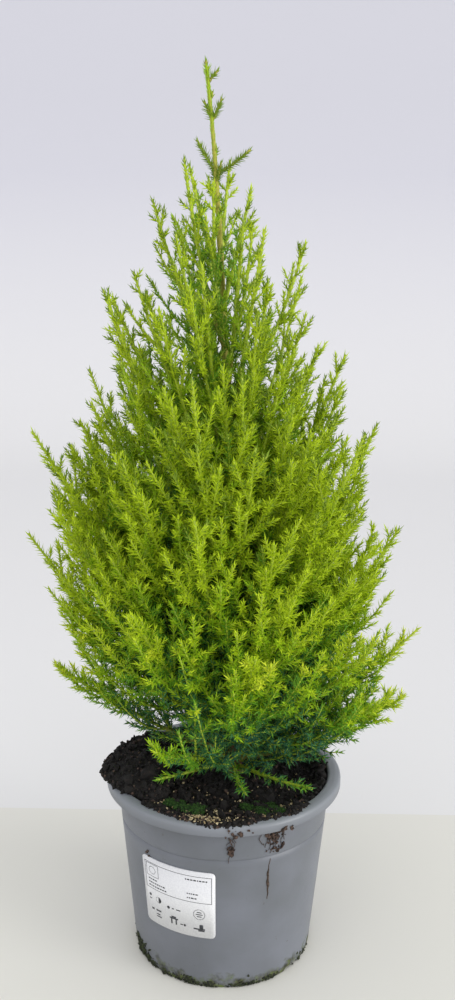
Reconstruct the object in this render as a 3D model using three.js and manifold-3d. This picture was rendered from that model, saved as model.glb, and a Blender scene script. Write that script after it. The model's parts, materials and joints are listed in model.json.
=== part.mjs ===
// A young cypress in its round nursery pot: pot, soil, label, trunk, boughs and masses of needles.
// Millimetres, +Z up. The origin is the centre of the pot's flat underside, and -Y is the label side.
// An azimuth is an angle in degrees from -Y towards +X.
import * as THREE from "three";
import * as BufferGeometryUtils from "three/addons/utils/BufferGeometryUtils.js";
import Module from "manifold-3d";

const wasm = await Module();
wasm.setup();

// Space left between two pieces that touch
const seatGap = 0.3;

// Pot
const potSides = 36;
const footRadius = 43.1;
const neckRadius = 51.3;
const neckHeight = 83;
const rimRadius = 56.6;
const rimHeight = 88.7;
const rimDrop = 5.1;
const rimEdge = 1.3;
const rimRoll = 3;
const rimLean = 5.2;
const rimDip = 2.6;
const wall = 1.5;
const floorThickness = 2;
const footEdge = 0.9;
const mouldLineHeight = 68.5;
const mouldLineStep = 0.35;
const notchCount = 10;
const notchAzimuth = 14;
const notchSize = new THREE.Vector3(9, 6, 1.7);

// Soil
const soilLevel = 86;
const soilTilt = 0.055;
const soilBump = 0.54;
const soilSectors = 20;
const soilRings = [41, 30, 18];
const levelRadius = 9;
const roughRadius = 20;
const heapCentre = new THREE.Vector3(-42, -6, 87);
const heapSize = new THREE.Vector3(14, 31, 5.6);
const heapSides = 12;
const heapRings = 6;

// Label
const labelFrom = -47.5;
const labelTo = -3;
const labelLow = 27.5;
const labelHigh = 62;
const labelCorner = 2;
const labelThickness = 0.3;

// Trunk
const trunkFoot = 86.3;
const trunkTip = 350;
const leaderTop = 413;
const footX = 5;
const leanX = -14;
const leanPower = 1.7;
const bowY = 2;
const collarRadius = 5;
const footTrunkRadius = 3.3;
const tipTrunkRadius = 1.1;
const flareHeight = 7;
const trunkTaper = 0.9;
const trunkSides = 8;
const trunkRings = 16;

// Shoots of the crown: where they leave the trunk decides how far and how steeply they go
const reachByHeight = [
  [90, 62], [96, 74], [110, 78], [150, 74], [190, 60], [225, 50], [260, 36], [300, 24], [345, 12],
];
const riseAngleByHeight = [
  [90, 6], [94, 20], [108, 40], [125, 50], [150, 57], [200, 61], [260, 67], [345, 73],
];
const fillShoots = 18;
const fillLow = 96;
const fillHigh = 316;
const fillPower = 2;
const fillArc = 72;
const fillStart = 0.31;
const fillShift = 0.19;
const reachSpread = 0.2;

// Side shoots that stand proud of the crown: height on the trunk, azimuth, reach and rise
const proudShoots = [
  { height: 108, azimuth: -97, reach: 101, rise: 93 },
  { height: 145, azimuth: -84, reach: 92, rise: 108 },
  { height: 95, azimuth: -82, reach: 84, rise: 49 },
  { height: 225, azimuth: -97, reach: 55, rise: 88 },
  { height: 274, azimuth: -85, reach: 33, rise: 80 },
  { height: 101, azimuth: 94, reach: 88, rise: 57 },
  { height: 92, azimuth: 78, reach: 80, rise: 41 },
  { height: 124, azimuth: 84, reach: 75, rise: 86 },
  { height: 150, azimuth: 97, reach: 66, rise: 106 },
  { height: 196, azimuth: 86, reach: 50, rise: 92 },
  { height: 258, azimuth: 94, reach: 34, rise: 79 },
];

// Plumes that fill the front of the crown: height on the trunk, azimuth, reach and rise
const frontShoots = [
  { height: 103, azimuth: 10, reach: 56, rise: 60 },
  { height: 116, azimuth: -22, reach: 50, rise: 66 },
];

// Low shoots that lie out over the soil: height on the trunk, azimuth, reach and rise
const lowShoots = [
  { height: 92, azimuth: -52, reach: 45, rise: 3 },
  { height: 91, azimuth: 8, reach: 40, rise: 4 },
  { height: 90, azimuth: 45, reach: 50, rise: 6 },
  { height: 92, azimuth: -148, reach: 52, rise: 10 },
  { height: 91, azimuth: 140, reach: 52, rise: 8 },
];

// Pairs of small side shoots on the leader: how far up it they stand, and how long they are
const leaderPairs = [
  { share: 0.1, size: 19 },
  { share: 0.55, size: 11 },
  { share: 0.82, size: 8 },
];
const leaderSpread = 38;
const leaderNeedle = 0.6;

// How a shoot bends, and how it divides into its bough and its mass
const bendOut = 0.56;
const bendUp = 0.34;
const swayWidth = 8;
const boughShare = 0.19;
const shortShoot = 91;
const boughSides = 5;
const boughRings = 3;
const boughRootRadius = 1.6;
const boughTipRadius = 1.1;
const boughFullLength = 90;
const boughLargest = 1.1;
const axisSteps = 12;
const slideStep = 0.02;

// Twigs and needles: each needle stands for a spray, so it is longer than the real 4 mm
const needleStep = 7.9;
const rootStep = 4;
const endStep = 5;
const needleOut = 7;
const needleForward = 7;
const needleTaper = 0.5;
const needleApart = 0.6;
const needleRoom = 0.6;
const ringTwist = 0.35;
const stemRootRadius = 1.25;
const stemTipRadius = 0.7;
const stemSwell = 1.1;
const twigRootRadius = 1.45;
const twigTipRadius = 0.7;
const twigStart = 5;
const twigSpacing = 7;
const twigLongest = 32;
const twigShortest = 11;
const twigLengthShare = 0.5;
const twigSpread = 50;
const twigClosing = 12;
const twigLift = 0.2;
const twigApart = 3.2;
const twigTries = [1, 0.8, 0.62, 0.46];
const facingWeight = 4;
const firstTurn = 50;
const shortTwig = 20;
const goldenTurn = 137.508;
const goldenShare = 0.618034;
const soilRoom = 1.5;
const twigRoom = 0.2;
const endShare = 0.3;
const twigJitter = 0.4;
const turnJitter = 40;
const twigThinning = 0.7;
const twigSizeSpread = 0.3;
const smallestNeedle = 0.6;
const leastFacing = 0.25;
const trunkClearStep = 0.005;

// Number of the random sequence, so that the plant grows the same each time
const seed = 20261;

function randomSequence(start) {
  let state = start;
  return () => {
    state = (state * 16807) % 2147483647;
    return state / 2147483647;
  };
}

function radians(degrees) {
  return (degrees * Math.PI) / 180;
}

function outward(azimuth) {
  return new THREE.Vector3(Math.sin(radians(azimuth)), -Math.cos(radians(azimuth)), 0);
}

function profile(points, x) {
  if (x <= points[0][0]) return points[0][1];
  for (let i = 1; i < points.length; i++) {
    const [x0, y0] = points[i - 1];
    const [x1, y1] = points[i];
    if (x <= x1) return y0 + ((y1 - y0) * (x - x0)) / (x1 - x0);
  }
  return points[points.length - 1][1];
}

// Solids and geometry
function solidOf(geometry) {
  const bare = geometry.clone();
  bare.deleteAttribute("normal");
  bare.deleteAttribute("uv");
  const merged = BufferGeometryUtils.mergeVertices(bare, 1e-4);
  return new wasm.Manifold(new wasm.Mesh({
    numProp: 3,
    vertProperties: Float32Array.from(merged.attributes.position.array),
    triVerts: Uint32Array.from(merged.index.array),
  }));
}

function geometryOf(solid) {
  const mesh = solid.getMesh();
  const geometry = new THREE.BufferGeometry();
  geometry.setAttribute("position", new THREE.BufferAttribute(Float32Array.from(mesh.vertProperties), 3));
  geometry.setIndex(new THREE.BufferAttribute(Uint32Array.from(mesh.triVerts), 1));
  return geometry;
}

function geometryFrom(vertices, triangles) {
  const geometry = new THREE.BufferGeometry();
  const positions = vertices.flatMap((v) => v.toArray());
  geometry.setAttribute("position", new THREE.Float32BufferAttribute(positions, 3));
  geometry.setIndex(triangles.flat());
  return geometry;
}

// The biggest single body of a union: loose scraps and sealed hollows drop away
function biggestBody(solid) {
  return solid.decompose().reduce((best, body) => (body.volume() > best.volume() ? body : best));
}

function latheSolid(outline) {
  const points = outline.map(([radius, z]) => new THREE.Vector2(radius, z));
  return solidOf(new THREE.LatheGeometry(points, potSides).rotateX(Math.PI / 2));
}

// Pot
function potRadius(z) {
  return footRadius + ((neckRadius - footRadius) * z) / neckHeight;
}

// Inside of the pot's wall, from its floor up to where the rim leans out
function insideRadius(z) {
  const share = Math.min((z - floorThickness) / (rimHeight - rimDip - floorThickness), 1);
  return THREE.MathUtils.lerp(potRadius(floorThickness), potRadius(neckHeight), share) - wall;
}

function makePot() {
  const lipBottom = rimHeight - rimDrop;
  const lipInside = rimRadius - wall + 0.1;
  const outline = [
    [0, 0],
    [footRadius - footEdge, 0],
    [footRadius, footEdge],
    [potRadius(mouldLineHeight) - mouldLineStep, mouldLineHeight - mouldLineStep],
    [potRadius(mouldLineHeight), mouldLineHeight],
    [neckRadius, lipBottom],
    [neckRadius + 0.2, rimHeight - wall],
    [lipInside, rimHeight - wall - 0.3],
    [lipInside, lipBottom],
    [rimRadius, lipBottom],
    [rimRadius - 0.1, rimHeight - rimEdge],
    [rimRadius - rimEdge, rimHeight - 0.1],
    [rimRadius - rimRoll, rimHeight],
    [rimRadius - rimLean, rimHeight - 0.5],
    [insideRadius(rimHeight - rimDip), rimHeight - rimDip],
    [insideRadius(floorThickness), floorThickness],
    [0, floorThickness],
  ];
  let pot = latheSolid(outline);
  for (let i = 0; i < notchCount; i++) {
    const azimuth = notchAzimuth + (i * 360) / notchCount;
    const notch = new THREE.BoxGeometry(notchSize.x, notchSize.y, notchSize.z * 2);
    notch.translate(0, -footRadius, 0);
    notch.rotateZ(radians(azimuth));
    pot = pot.subtract(solidOf(notch));
  }
  return geometryOf(pot);
}

// The rim with its clearance, for cutting what lies over it
function rimClearance() {
  const outer = rimRadius + seatGap;
  const low = neckHeight - heapSize.z;
  const top = rimHeight + seatGap;
  return latheSolid([
    [insideRadius(low) - seatGap, low],
    [outer, low],
    [outer, top - 1],
    [outer - 1, top],
    [rimRadius - rimLean - seatGap, top - 0.4],
    [insideRadius(rimHeight) - seatGap, rimHeight - rimDip + seatGap],
    [insideRadius(low) - seatGap, low],
  ]);
}

// Soil: level where the trunk stands, higher towards -X, with a heap that lies over the rim there
function soilHeight(x, y) {
  const far = THREE.MathUtils.smoothstep(Math.hypot(x - footX, y), levelRadius, roughRadius);
  const bumps = Math.sin(x * 0.31 + 1.3) * Math.cos(y * 0.27 - 0.4) + 0.6 * Math.sin(x * 0.13 - y * 0.19);
  return soilLevel + far * (bumps * soilBump - x * soilTilt - 0.7);
}

function makeSoil() {
  const underside = floorThickness + seatGap;
  const vertices = [];
  const triangles = [];
  for (const ring of ["underside", insideRadius(rimHeight), ...soilRings]) {
    for (let k = 0; k < soilSectors; k++) {
      const direction = outward((k * 360) / soilSectors);
      const isTop = ring !== "underside";
      const z = isTop ? soilHeight(direction.x * ring, direction.y * ring) : underside;
      const most = insideRadius(z) * Math.cos(Math.PI / potSides) - seatGap;
      vertices.push(direction.multiplyScalar(isTop ? Math.min(ring, most) : most).setZ(z));
    }
  }
  const bottom = vertices.push(new THREE.Vector3(0, 0, underside)) - 1;
  const top = vertices.push(new THREE.Vector3(footX, 0, soilLevel)) - 1;
  for (let ring = 0; ring <= soilRings.length; ring++) {
    for (let k = 0; k < soilSectors; k++) {
      const next = (k + 1) % soilSectors;
      const a = ring * soilSectors + k;
      const b = ring * soilSectors + next;
      triangles.push([a, b, b + soilSectors], [a, b + soilSectors, a + soilSectors]);
    }
  }
  for (let k = 0; k < soilSectors; k++) {
    const next = (k + 1) % soilSectors;
    const last = (soilRings.length + 1) * soilSectors;
    triangles.push([bottom, next, k], [top, last + k, last + next]);
  }
  const heap = new THREE.SphereGeometry(1, heapSides, heapRings);
  heap.scale(heapSize.x, heapSize.y, heapSize.z);
  heap.rotateZ(radians(-8));
  heap.translate(heapCentre.x, heapCentre.y, heapCentre.z);
  const soil = solidOf(geometryFrom(vertices, triangles)).add(solidOf(heap));
  return geometryOf(biggestBody(soil.subtract(rimClearance())));
}

// Label: a thin sheet bent round the pot's wall, with rounded corners
function makeLabel() {
  const middle = potRadius((labelLow + labelHigh) / 2);
  const width = radians(labelTo - labelFrom) * middle;
  const ends = [0, 0.12, 0.5, 1].map((share) => share * labelCorner);
  const inside = [];
  for (let k = 1; k < 9; k++) inside.push(labelCorner + ((width - 2 * labelCorner) * k) / 9);
  const columns = [...ends, ...inside, ...ends.map((end) => width - end).reverse()];
  const vertices = [];
  for (const along of columns) {
    const fromEnd = Math.min(labelCorner, along, width - along);
    const inset = labelCorner - Math.sqrt(labelCorner ** 2 - (labelCorner - fromEnd) ** 2);
    const direction = outward(labelFrom + (along / middle) * (180 / Math.PI));
    for (const z of [labelLow + inset, labelHigh - inset]) {
      for (const lift of [seatGap, seatGap + labelThickness]) {
        vertices.push(direction.clone().multiplyScalar(potRadius(z) + lift).setZ(z));
      }
    }
  }
  const triangles = [[0, 1, 3], [0, 3, 2]];
  const quad = (a, b, c, d) => triangles.push([a, b, c], [a, c, d]);
  for (let k = 0; k < columns.length - 1; k++) {
    const here = k * 4;
    const next = here + 4;
    quad(here, next, next + 1, here + 1);
    quad(here + 1, next + 1, next + 3, here + 3);
    quad(here + 3, next + 3, next + 2, here + 2);
    quad(here + 2, next + 2, next, here);
  }
  const last = (columns.length - 1) * 4;
  triangles.push([last, last + 3, last + 1], [last, last + 2, last + 3]);
  return geometryFrom(vertices, triangles);
}

// Trunk
function trunkPoint(z) {
  const share = (z - trunkFoot) / (leaderTop - trunkFoot);
  const x = footX + leanX * Math.max(share, 0) ** leanPower;
  return new THREE.Vector3(x, bowY * Math.sin(Math.PI * share), z);
}

function trunkRadius(z) {
  const share = Math.min((z - trunkFoot) / (trunkTip - trunkFoot), 1);
  const flare = Math.max(1 - (z - trunkFoot) / flareHeight, 0) ** 2;
  const straight = THREE.MathUtils.lerp(footTrunkRadius, tipTrunkRadius, share ** trunkTaper);
  return straight + (collarRadius - footTrunkRadius) * flare;
}

function makeTrunk() {
  const places = [];
  for (let i = 0; i <= trunkRings; i++) {
    const z = trunkFoot + (trunkTip - trunkFoot) * (i / trunkRings) ** 1.5;
    places.push({ centre: trunkPoint(z), radius: trunkRadius(z) });
  }
  return limbGeometry(limbRings(places, trunkSides));
}

// Rings of points round a limb's centre line
function limbRings(places, sides) {
  const path = places.map((place) => place.centre);
  return places.map(({ centre, radius }, i) => {
    const [across, over] = crossAxes(path, i);
    const ring = [];
    for (let k = 0; k < sides; k++) {
      const turn = (k * 2 * Math.PI) / sides;
      const corner = centre.clone().addScaledVector(across, radius * Math.cos(turn));
      ring.push(corner.addScaledVector(over, radius * Math.sin(turn)));
    }
    return ring;
  });
}

// Closed limb through its rings, with an end face at each end
function limbGeometry(rings) {
  const sides = rings[0].length;
  const triangles = [];
  for (let i = 0; i < rings.length - 1; i++) {
    for (let k = 0; k < sides; k++) {
      const a = i * sides + k;
      const b = i * sides + ((k + 1) % sides);
      triangles.push([a, b, b + sides], [a, b + sides, a + sides]);
    }
  }
  const last = (rings.length - 1) * sides;
  for (let k = 1; k < sides - 1; k++) {
    triangles.push([0, k + 1, k], [last, last + k, last + k + 1]);
  }
  return geometryFrom(rings.flat(), triangles);
}

// Two directions square to a path at one of its points, and the path's own direction there
function crossAxes(path, i) {
  const before = path[Math.max(i - 1, 0)];
  const after = path[Math.min(i + 1, path.length - 1)];
  return squareTo(after.clone().sub(before).normalize());
}

function squareTo(along) {
  const reference = Math.abs(along.z) > 0.9 ? new THREE.Vector3(1, 0, 0) : new THREE.Vector3(0, 0, 1);
  const across = new THREE.Vector3().crossVectors(reference, along).normalize();
  const over = new THREE.Vector3().crossVectors(along, across);
  return [across, over, along];
}

// A limb's root ring slid back along the limb onto an upright plane, the seat gap clear of the trunk
function seatOnTrunk(ring, along) {
  const level = new THREE.Vector3(along.x, along.y, 0).normalize();
  const beyond = (p) => p.clone().sub(trunkPoint(p.z)).dot(level) - trunkRadius(p.z) - seatGap;
  for (const corner of ring) {
    while (beyond(corner) > 0) corner.addScaledVector(along, -slideStep);
  }
}

function fromTrunk(p) {
  const centre = trunkPoint(p.z);
  return Math.hypot(p.x - centre.x, p.y - centre.y) - trunkRadius(p.z);
}

// Plan of the crown: one axis for each shoot, from the trunk to the shoot's tip
function shootCurve({ height, azimuth, reach, rise, sway }) {
  const root = trunkPoint(height);
  const tip = root.clone().addScaledVector(outward(azimuth), reach).setZ(height + rise);
  const bend = root.clone().addScaledVector(outward(azimuth), reach * bendOut);
  bend.addScaledVector(outward(azimuth + 90), sway).setZ(height + rise * bendUp);
  return new THREE.QuadraticBezierCurve3(root, bend, tip);
}

function planShoots() {
  const random = randomSequence(seed);
  const sway = () => (random() - 0.5) * swayWidth;
  const shoots = [...proudShoots, ...frontShoots, ...lowShoots].map((shoot) => ({ ...shoot, sway: sway() }));
  for (let i = 0; i < fillShoots; i++) {
    const height = fillLow + (fillHigh - fillLow) * (i / (fillShoots - 1)) ** fillPower;
    const behind = i % 2;
    const share = (Math.floor(i / 2) * goldenShare + fillStart + behind * fillShift) % 1;
    const azimuth = behind * 180 + (2 * share - 1) * fillArc;
    const reach = profile(reachByHeight, height) * (1 + (random() - 0.5) * reachSpread);
    const rise = reach * Math.tan(radians(profile(riseAngleByHeight, height)));
    shoots.push({ height, azimuth, reach, rise, sway: sway() });
  }
  shoots.sort((a, b) => a.height - b.height);
  const plan = shoots.map((shoot) => {
    const curve = shootCurve(shoot);
    const length = curve.getLength();
    const hasBough = length > shortShoot;
    const start = hasBough ? boughShare : 0;
    return { curve, length, hasBough, start, axis: curve.getSpacedPoints(axisSteps) };
  });
  plan.push(leaderShoot());
  return plan;
}

// The leader goes on from the trunk's tip
function leaderShoot() {
  const curve = new THREE.LineCurve3(trunkPoint(trunkTip + seatGap), trunkPoint(leaderTop));
  const length = curve.getLength();
  return { curve, length, hasBough: false, start: 0, isLeader: true, axis: curve.getSpacedPoints(1) };
}

const plan = planShoots();

function boughRadius(shoot, share) {
  const size = Math.min(shoot.length / boughFullLength, boughLargest);
  return THREE.MathUtils.lerp(boughRootRadius, boughTipRadius, share / boughShare) * size;
}

// Distance from a point to a path
function distanceTo(path, p) {
  let best = Infinity;
  for (let i = 0; i < path.length - 1; i++) {
    const a = path[i];
    const b = path[i + 1];
    const ux = b.x - a.x;
    const uy = b.y - a.y;
    const uz = b.z - a.z;
    const along = ((p.x - a.x) * ux + (p.y - a.y) * uy + (p.z - a.z) * uz) / (ux * ux + uy * uy + uz * uz);
    const t = Math.min(Math.max(along, 0), 1);
    best = Math.min(best, Math.hypot(p.x - a.x - t * ux, p.y - a.y - t * uy, p.z - a.z - t * uz));
  }
  return best;
}

// A point is in a mass's own space when it is nearer to that mass's axis than to any other,
// and clear of the trunk, the boughs, the soil and the rim
function inOwnSpace(own, p, room) {
  if (p.z < Math.max(soilHeight(p.x, p.y), rimHeight) + soilRoom + room) return false;
  if (p.z < trunkTip && fromTrunk(p) < seatGap + room) return false;
  const ownDistance = distanceTo(plan[own].axis, p);
  return plan.every((shoot, i) => {
    const distance = i === own ? ownDistance : distanceTo(shoot.axis, p);
    if (i !== own && distance - ownDistance < 2 * room) return false;
    if (!shoot.hasBough || distance > boughRootRadius * boughLargest + seatGap + room) return true;
    const bough = [0, 0.5, 1].map((share) => shoot.curve.getPointAt(share * shoot.start));
    return distanceTo(bough, p) > boughRadius(shoot, 0) + seatGap + room;
  });
}

// A mass is one mesh that grows: a stem of three sides, and faces drawn out of it into twigs and needles
function addStem(mass, path, rootRadius, tipRadius, rootFace) {
  const steps = path.length - 1;
  const shortness = THREE.MathUtils.clamp(path[0].distanceTo(path[steps]) / shortTwig, smallestNeedle, 1);
  const needleSize = mass.needleScale * shortness;
  const rings = rootFace ? [rootFace.corners] : [];
  for (let i = rings.length; i < steps; i++) {
    const swell = rootFace ? 0 : stemSwell * mass.needleScale * Math.sin((Math.PI * i) / steps);
    const radius = THREE.MathUtils.lerp(rootRadius, tipRadius, i / (steps - 1)) + swell;
    rings.push(addRing(mass, path, i, radius, rootFace));
  }
  const end = mass.vertices.push(path[steps].clone()) - 1;
  if (!rootFace) mass.triangles.push([rings[0][0], rings[0][2], rings[0][1]]);
  for (let i = 0; i < steps; i++) {
    for (let k = 0; k < 3; k++) {
      const a = rings[i][k];
      const b = rings[i][(k + 1) % 3];
      if (i === steps - 1) {
        mass.triangles.push([a, b, end]);
        continue;
      }
      const c = rings[i + 1][(k + 1) % 3];
      const d = rings[i + 1][k];
      const bare = i === 0;
      const size = needleSize * THREE.MathUtils.lerp(1, needleTaper, i / (steps - 1));
      for (const corners of [[a, b, c], [d, a, c]]) mass.faces.push({ corners, path, step: i, size, bare });
    }
  }
}

function addRing(mass, path, i, radius, rootFace) {
  const [across, over] = crossAxes(path, i);
  let start = i * ringTwist;
  if (rootFace) {
    const lone = mass.vertices[rootFace.corners[rootFace.lone]].clone().sub(path[0]);
    start = Math.atan2(lone.dot(over), lone.dot(across)) - (rootFace.lone * 2 * Math.PI) / 3;
  }
  return [0, 1, 2].map((k) => {
    const turn = start + (k * 2 * Math.PI) / 3;
    const corner = path[i].clone().addScaledVector(across, radius * Math.cos(turn));
    return mass.vertices.push(corner.addScaledVector(over, radius * Math.sin(turn))) - 1;
  });
}

function faceShape(mass, { corners }) {
  const [a, b, c] = corners.map((v) => mass.vertices[v]);
  const normal = new THREE.Vector3().crossVectors(b.clone().sub(a), c.clone().sub(a)).normalize();
  return { middle: a.clone().add(b).add(c).divideScalar(3), normal };
}

// Where a twig's rings stand, as shares of its length: a short bare root, even steps and a point
function stepShares(length) {
  const root = Math.min(rootStep, length * endShare);
  const middle = length - root - Math.min(endStep, length * endShare);
  const steps = Math.max(1, Math.round(middle / needleStep));
  const shares = [0];
  for (let i = 0; i <= steps; i++) shares.push((root + (middle * i) / steps) / length);
  shares.push(1);
  return shares;
}

// Path of a side twig: out from its root, then bending up
function twigPath(root, direction, length) {
  return stepShares(length).map((share) => {
    const point = root.clone().addScaledVector(direction, length * share);
    point.z += length * twigLift * share * share;
    return point;
  });
}

// The free face of the stem that looks most nearly the way a twig should go
function faceFor(mass, stemPath, point, aside) {
  let best = null;
  for (const face of mass.faces) {
    if (face.path !== stemPath || face.bare || face.taken) continue;
    const { middle, normal } = faceShape(mass, face);
    const turned = normal.dot(aside);
    const score = middle.distanceTo(point) - facingWeight * turned;
    if (turned > leastFacing && (!best || score < best.score)) best = { face, middle, score };
  }
  return best && best.score < needleStep ? best : null;
}

// The corner of a long face that lies alone at its own end
function loneCorner(mass, corners, along) {
  const heights = corners.map((v) => mass.vertices[v].dot(along));
  const middle = (Math.max(...heights) + Math.min(...heights)) / 2;
  const high = heights.filter((h) => h > middle).length;
  return heights.findIndex((h) => (high === 1 ? h > middle : h <= middle));
}

function planTwigs(own, from) {
  const { length, isLeader } = plan[own];
  const random = randomSequence(seed + 97 * (own + 1));
  if (isLeader) {
    return leaderPairs.flatMap(({ share, size }) => [90, 270].map((turn) => (
      { share, turn: turn + turnJitter * (random() - 0.5), size, spread: leaderSpread })));
  }
  const twigs = [];
  const massLength = length * (1 - from);
  const count = Math.round((massLength - twigStart) / twigSpacing);
  for (let i = 0; i < count; i++) {
    const share = from + (1 - from) * ((twigStart + twigSpacing * (i + twigJitter * random())) / massLength);
    const turn = i * goldenTurn + own * firstTurn + turnJitter * random();
    const grown = length * twigLengthShare * (1 - share) ** twigThinning
      * (1 + (random() - 0.5) * twigSizeSpread);
    const size = THREE.MathUtils.clamp(grown, twigShortest, twigLongest);
    twigs.push({ share: Math.min(share, 1), turn, size, spread: twigSpread - twigClosing * share });
  }
  return twigs;
}

function addTwigs(mass, own, stemPath, from) {
  const { curve } = plan[own];
  const paths = [stemPath];
  for (const twig of planTwigs(own, from)) {
    const [across, over, along] = squareTo(curve.getTangentAt(twig.share));
    const turn = radians(twig.turn);
    const spread = radians(twig.spread);
    const aside = across.clone().multiplyScalar(Math.cos(turn)).addScaledVector(over, Math.sin(turn));
    const direction = along.clone().multiplyScalar(Math.cos(spread)).addScaledVector(aside, Math.sin(spread));
    const seat = faceFor(mass, stemPath, curve.getPointAt(twig.share), aside);
    if (!seat) continue;
    const path = twigTries.map((size) => twigPath(seat.middle, direction, twig.size * size)).find((tried) => (
      tried.slice(1).every((p) => inOwnSpace(own, p, twigRootRadius + twigRoom))
      && tried.slice(2).every((p) => paths.every((other) => distanceTo(other, p) > twigApart))
    ));
    if (!path) continue;
    const lone = loneCorner(mass, seat.face.corners, along);
    seat.face.taken = true;
    addStem(mass, path, twigRootRadius, twigTipRadius, { corners: seat.face.corners, lone });
    paths.push(path);
  }
  return paths;
}

// Each face that is left becomes a needle where there is room, and stays flat where there isn't
function addNeedles(mass, own, paths) {
  for (const face of mass.faces) {
    if (face.taken) continue;
    const [a, b, c] = face.corners;
    const { middle, normal } = faceShape(mass, face);
    const [, , along] = crossAxes(face.path, face.step);
    const tip = middle.clone().addScaledVector(normal, needleOut * face.size);
    tip.addScaledVector(along, needleForward * face.size);
    const near = distanceTo(face.path, tip);
    const room = !face.bare && inOwnSpace(own, tip, needleRoom)
      && paths.every((other) => other === face.path || distanceTo(other, tip) > near + needleApart);
    if (room) {
      const end = mass.vertices.push(tip) - 1;
      mass.triangles.push([a, b, end], [b, c, end], [c, a, end]);
    } else {
      mass.triangles.push(face.corners);
    }
  }
}

function makeMass(own) {
  const shoot = plan[own];
  const mass = { vertices: [], triangles: [], faces: [], needleScale: shoot.isLeader ? leaderNeedle : 1 };
  let from = shoot.start + (shoot.hasBough ? seatGap / shoot.length : 0);
  if (!shoot.hasBough && !shoot.isLeader) from = clearOfTrunk(shoot, stemRootRadius);
  const stemPath = stepShares(shoot.length * (1 - from))
    .map((share) => shoot.curve.getPointAt(from + (1 - from) * share));
  addStem(mass, stemPath, stemRootRadius, stemTipRadius, null);
  if (!shoot.hasBough && !shoot.isLeader) {
    seatOnTrunk(mass.vertices.slice(0, 3), shoot.curve.getTangentAt(from));
  }
  const paths = addTwigs(mass, own, stemPath, from);
  addNeedles(mass, own, paths);
  return geometryFrom(mass.vertices, mass.triangles);
}

// How far along a shoot its whole root ring has left the trunk
function clearOfTrunk(shoot, rootRadius) {
  let share = 0;
  while (fromTrunk(shoot.curve.getPointAt(share)) < rootRadius + seatGap) share += trunkClearStep;
  return share;
}

function makeBough(shoot) {
  const first = clearOfTrunk(shoot, boughRadius(shoot, 0));
  const places = [];
  for (let i = 0; i <= boughRings; i++) {
    const share = THREE.MathUtils.lerp(first, shoot.start, i / boughRings);
    places.push({ centre: shoot.curve.getPointAt(share), radius: boughRadius(shoot, share) });
  }
  const rings = limbRings(places, boughSides);
  seatOnTrunk(rings[0], shoot.curve.getTangentAt(first));
  return limbGeometry(rings);
}

// Materials
const potPlastic = new THREE.MeshStandardMaterial({ color: 0x7f848b, roughness: 0.55, metalness: 0 });
const peat = new THREE.MeshStandardMaterial({ color: 0x231c18, roughness: 1, metalness: 0 });
const paper = new THREE.MeshStandardMaterial({ color: 0xe6e7e8, roughness: 0.6, metalness: 0 });
const bark = new THREE.MeshStandardMaterial({ color: 0x8a6f3a, roughness: 0.85, metalness: 0 });
const needles = new THREE.MeshStandardMaterial({ color: 0x8db51a, roughness: 0.6, metalness: 0 });

// Assembly
const pottedCypress = new THREE.Group();

function addNode(name, geometry, material) {
  const mesh = new THREE.Mesh(geometry, material);
  mesh.name = name;
  geometry.computeVertexNormals();
  pottedCypress.add(mesh);
}

addNode("pot", makePot(), potPlastic);
addNode("soil", makeSoil(), peat);
addNode("label", makeLabel(), paper);
addNode("trunk", makeTrunk(), bark);

plan.forEach((shoot, i) => {
  const number = String(i + 1).padStart(2, "0");
  if (shoot.hasBough) addNode(`bough_${number}`, makeBough(shoot), bark);
  addNode(shoot.isLeader ? "foliage_leader" : `foliage_${number}`, makeMass(i), needles);
});

export default pottedCypress;
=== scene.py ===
# A young golden cypress in its round nursery pot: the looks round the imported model.
# Sizes are in millimetres until a mesh is made. The origin is the centre of the pot's underside,
# +Z is up and -Y is the label side. An azimuth is an angle in degrees from -Y towards +X.
import json
import math
import bpy
import numpy as np
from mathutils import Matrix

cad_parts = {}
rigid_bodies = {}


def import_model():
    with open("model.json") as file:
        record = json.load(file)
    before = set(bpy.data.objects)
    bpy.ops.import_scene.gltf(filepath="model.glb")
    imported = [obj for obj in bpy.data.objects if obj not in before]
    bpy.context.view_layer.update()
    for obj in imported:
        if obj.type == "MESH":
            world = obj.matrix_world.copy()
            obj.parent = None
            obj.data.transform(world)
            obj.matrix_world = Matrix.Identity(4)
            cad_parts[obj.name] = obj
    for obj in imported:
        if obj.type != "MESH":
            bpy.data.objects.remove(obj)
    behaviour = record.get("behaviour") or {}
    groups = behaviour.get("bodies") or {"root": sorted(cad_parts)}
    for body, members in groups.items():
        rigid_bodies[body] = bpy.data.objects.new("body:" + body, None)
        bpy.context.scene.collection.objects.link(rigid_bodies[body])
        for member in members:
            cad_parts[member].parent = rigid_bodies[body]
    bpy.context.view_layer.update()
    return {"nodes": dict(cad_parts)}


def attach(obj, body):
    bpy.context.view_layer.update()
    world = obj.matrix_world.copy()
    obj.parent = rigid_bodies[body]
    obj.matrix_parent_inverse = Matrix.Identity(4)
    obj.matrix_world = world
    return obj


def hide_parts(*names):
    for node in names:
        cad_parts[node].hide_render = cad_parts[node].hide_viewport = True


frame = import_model()

MM = 0.001
SEED = 20261

# Pot, as in the part's source
FOOT_RADIUS = 43.1
NECK_RADIUS = 51.3
NECK_HEIGHT = 83.0
RIM_RADIUS = 56.6
RIM_HEIGHT = 88.7
RIM_DROP = 5.1
WALL = 1.5
FLOOR_THICKNESS = 2.0
MOULD_LINE = 68.5
NOTCH_COUNT = 10
NOTCH_AZIMUTH = 14.0
NOTCH_WIDTH = 9.0
NOTCH_HEIGHT = 1.7

# Soil
SOIL_LEVEL = 86.0
SOIL_TILT = 0.055
SOIL_BUMP = 0.54
LEVEL_RADIUS = 9.0
ROUGH_RADIUS = 20.0

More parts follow.
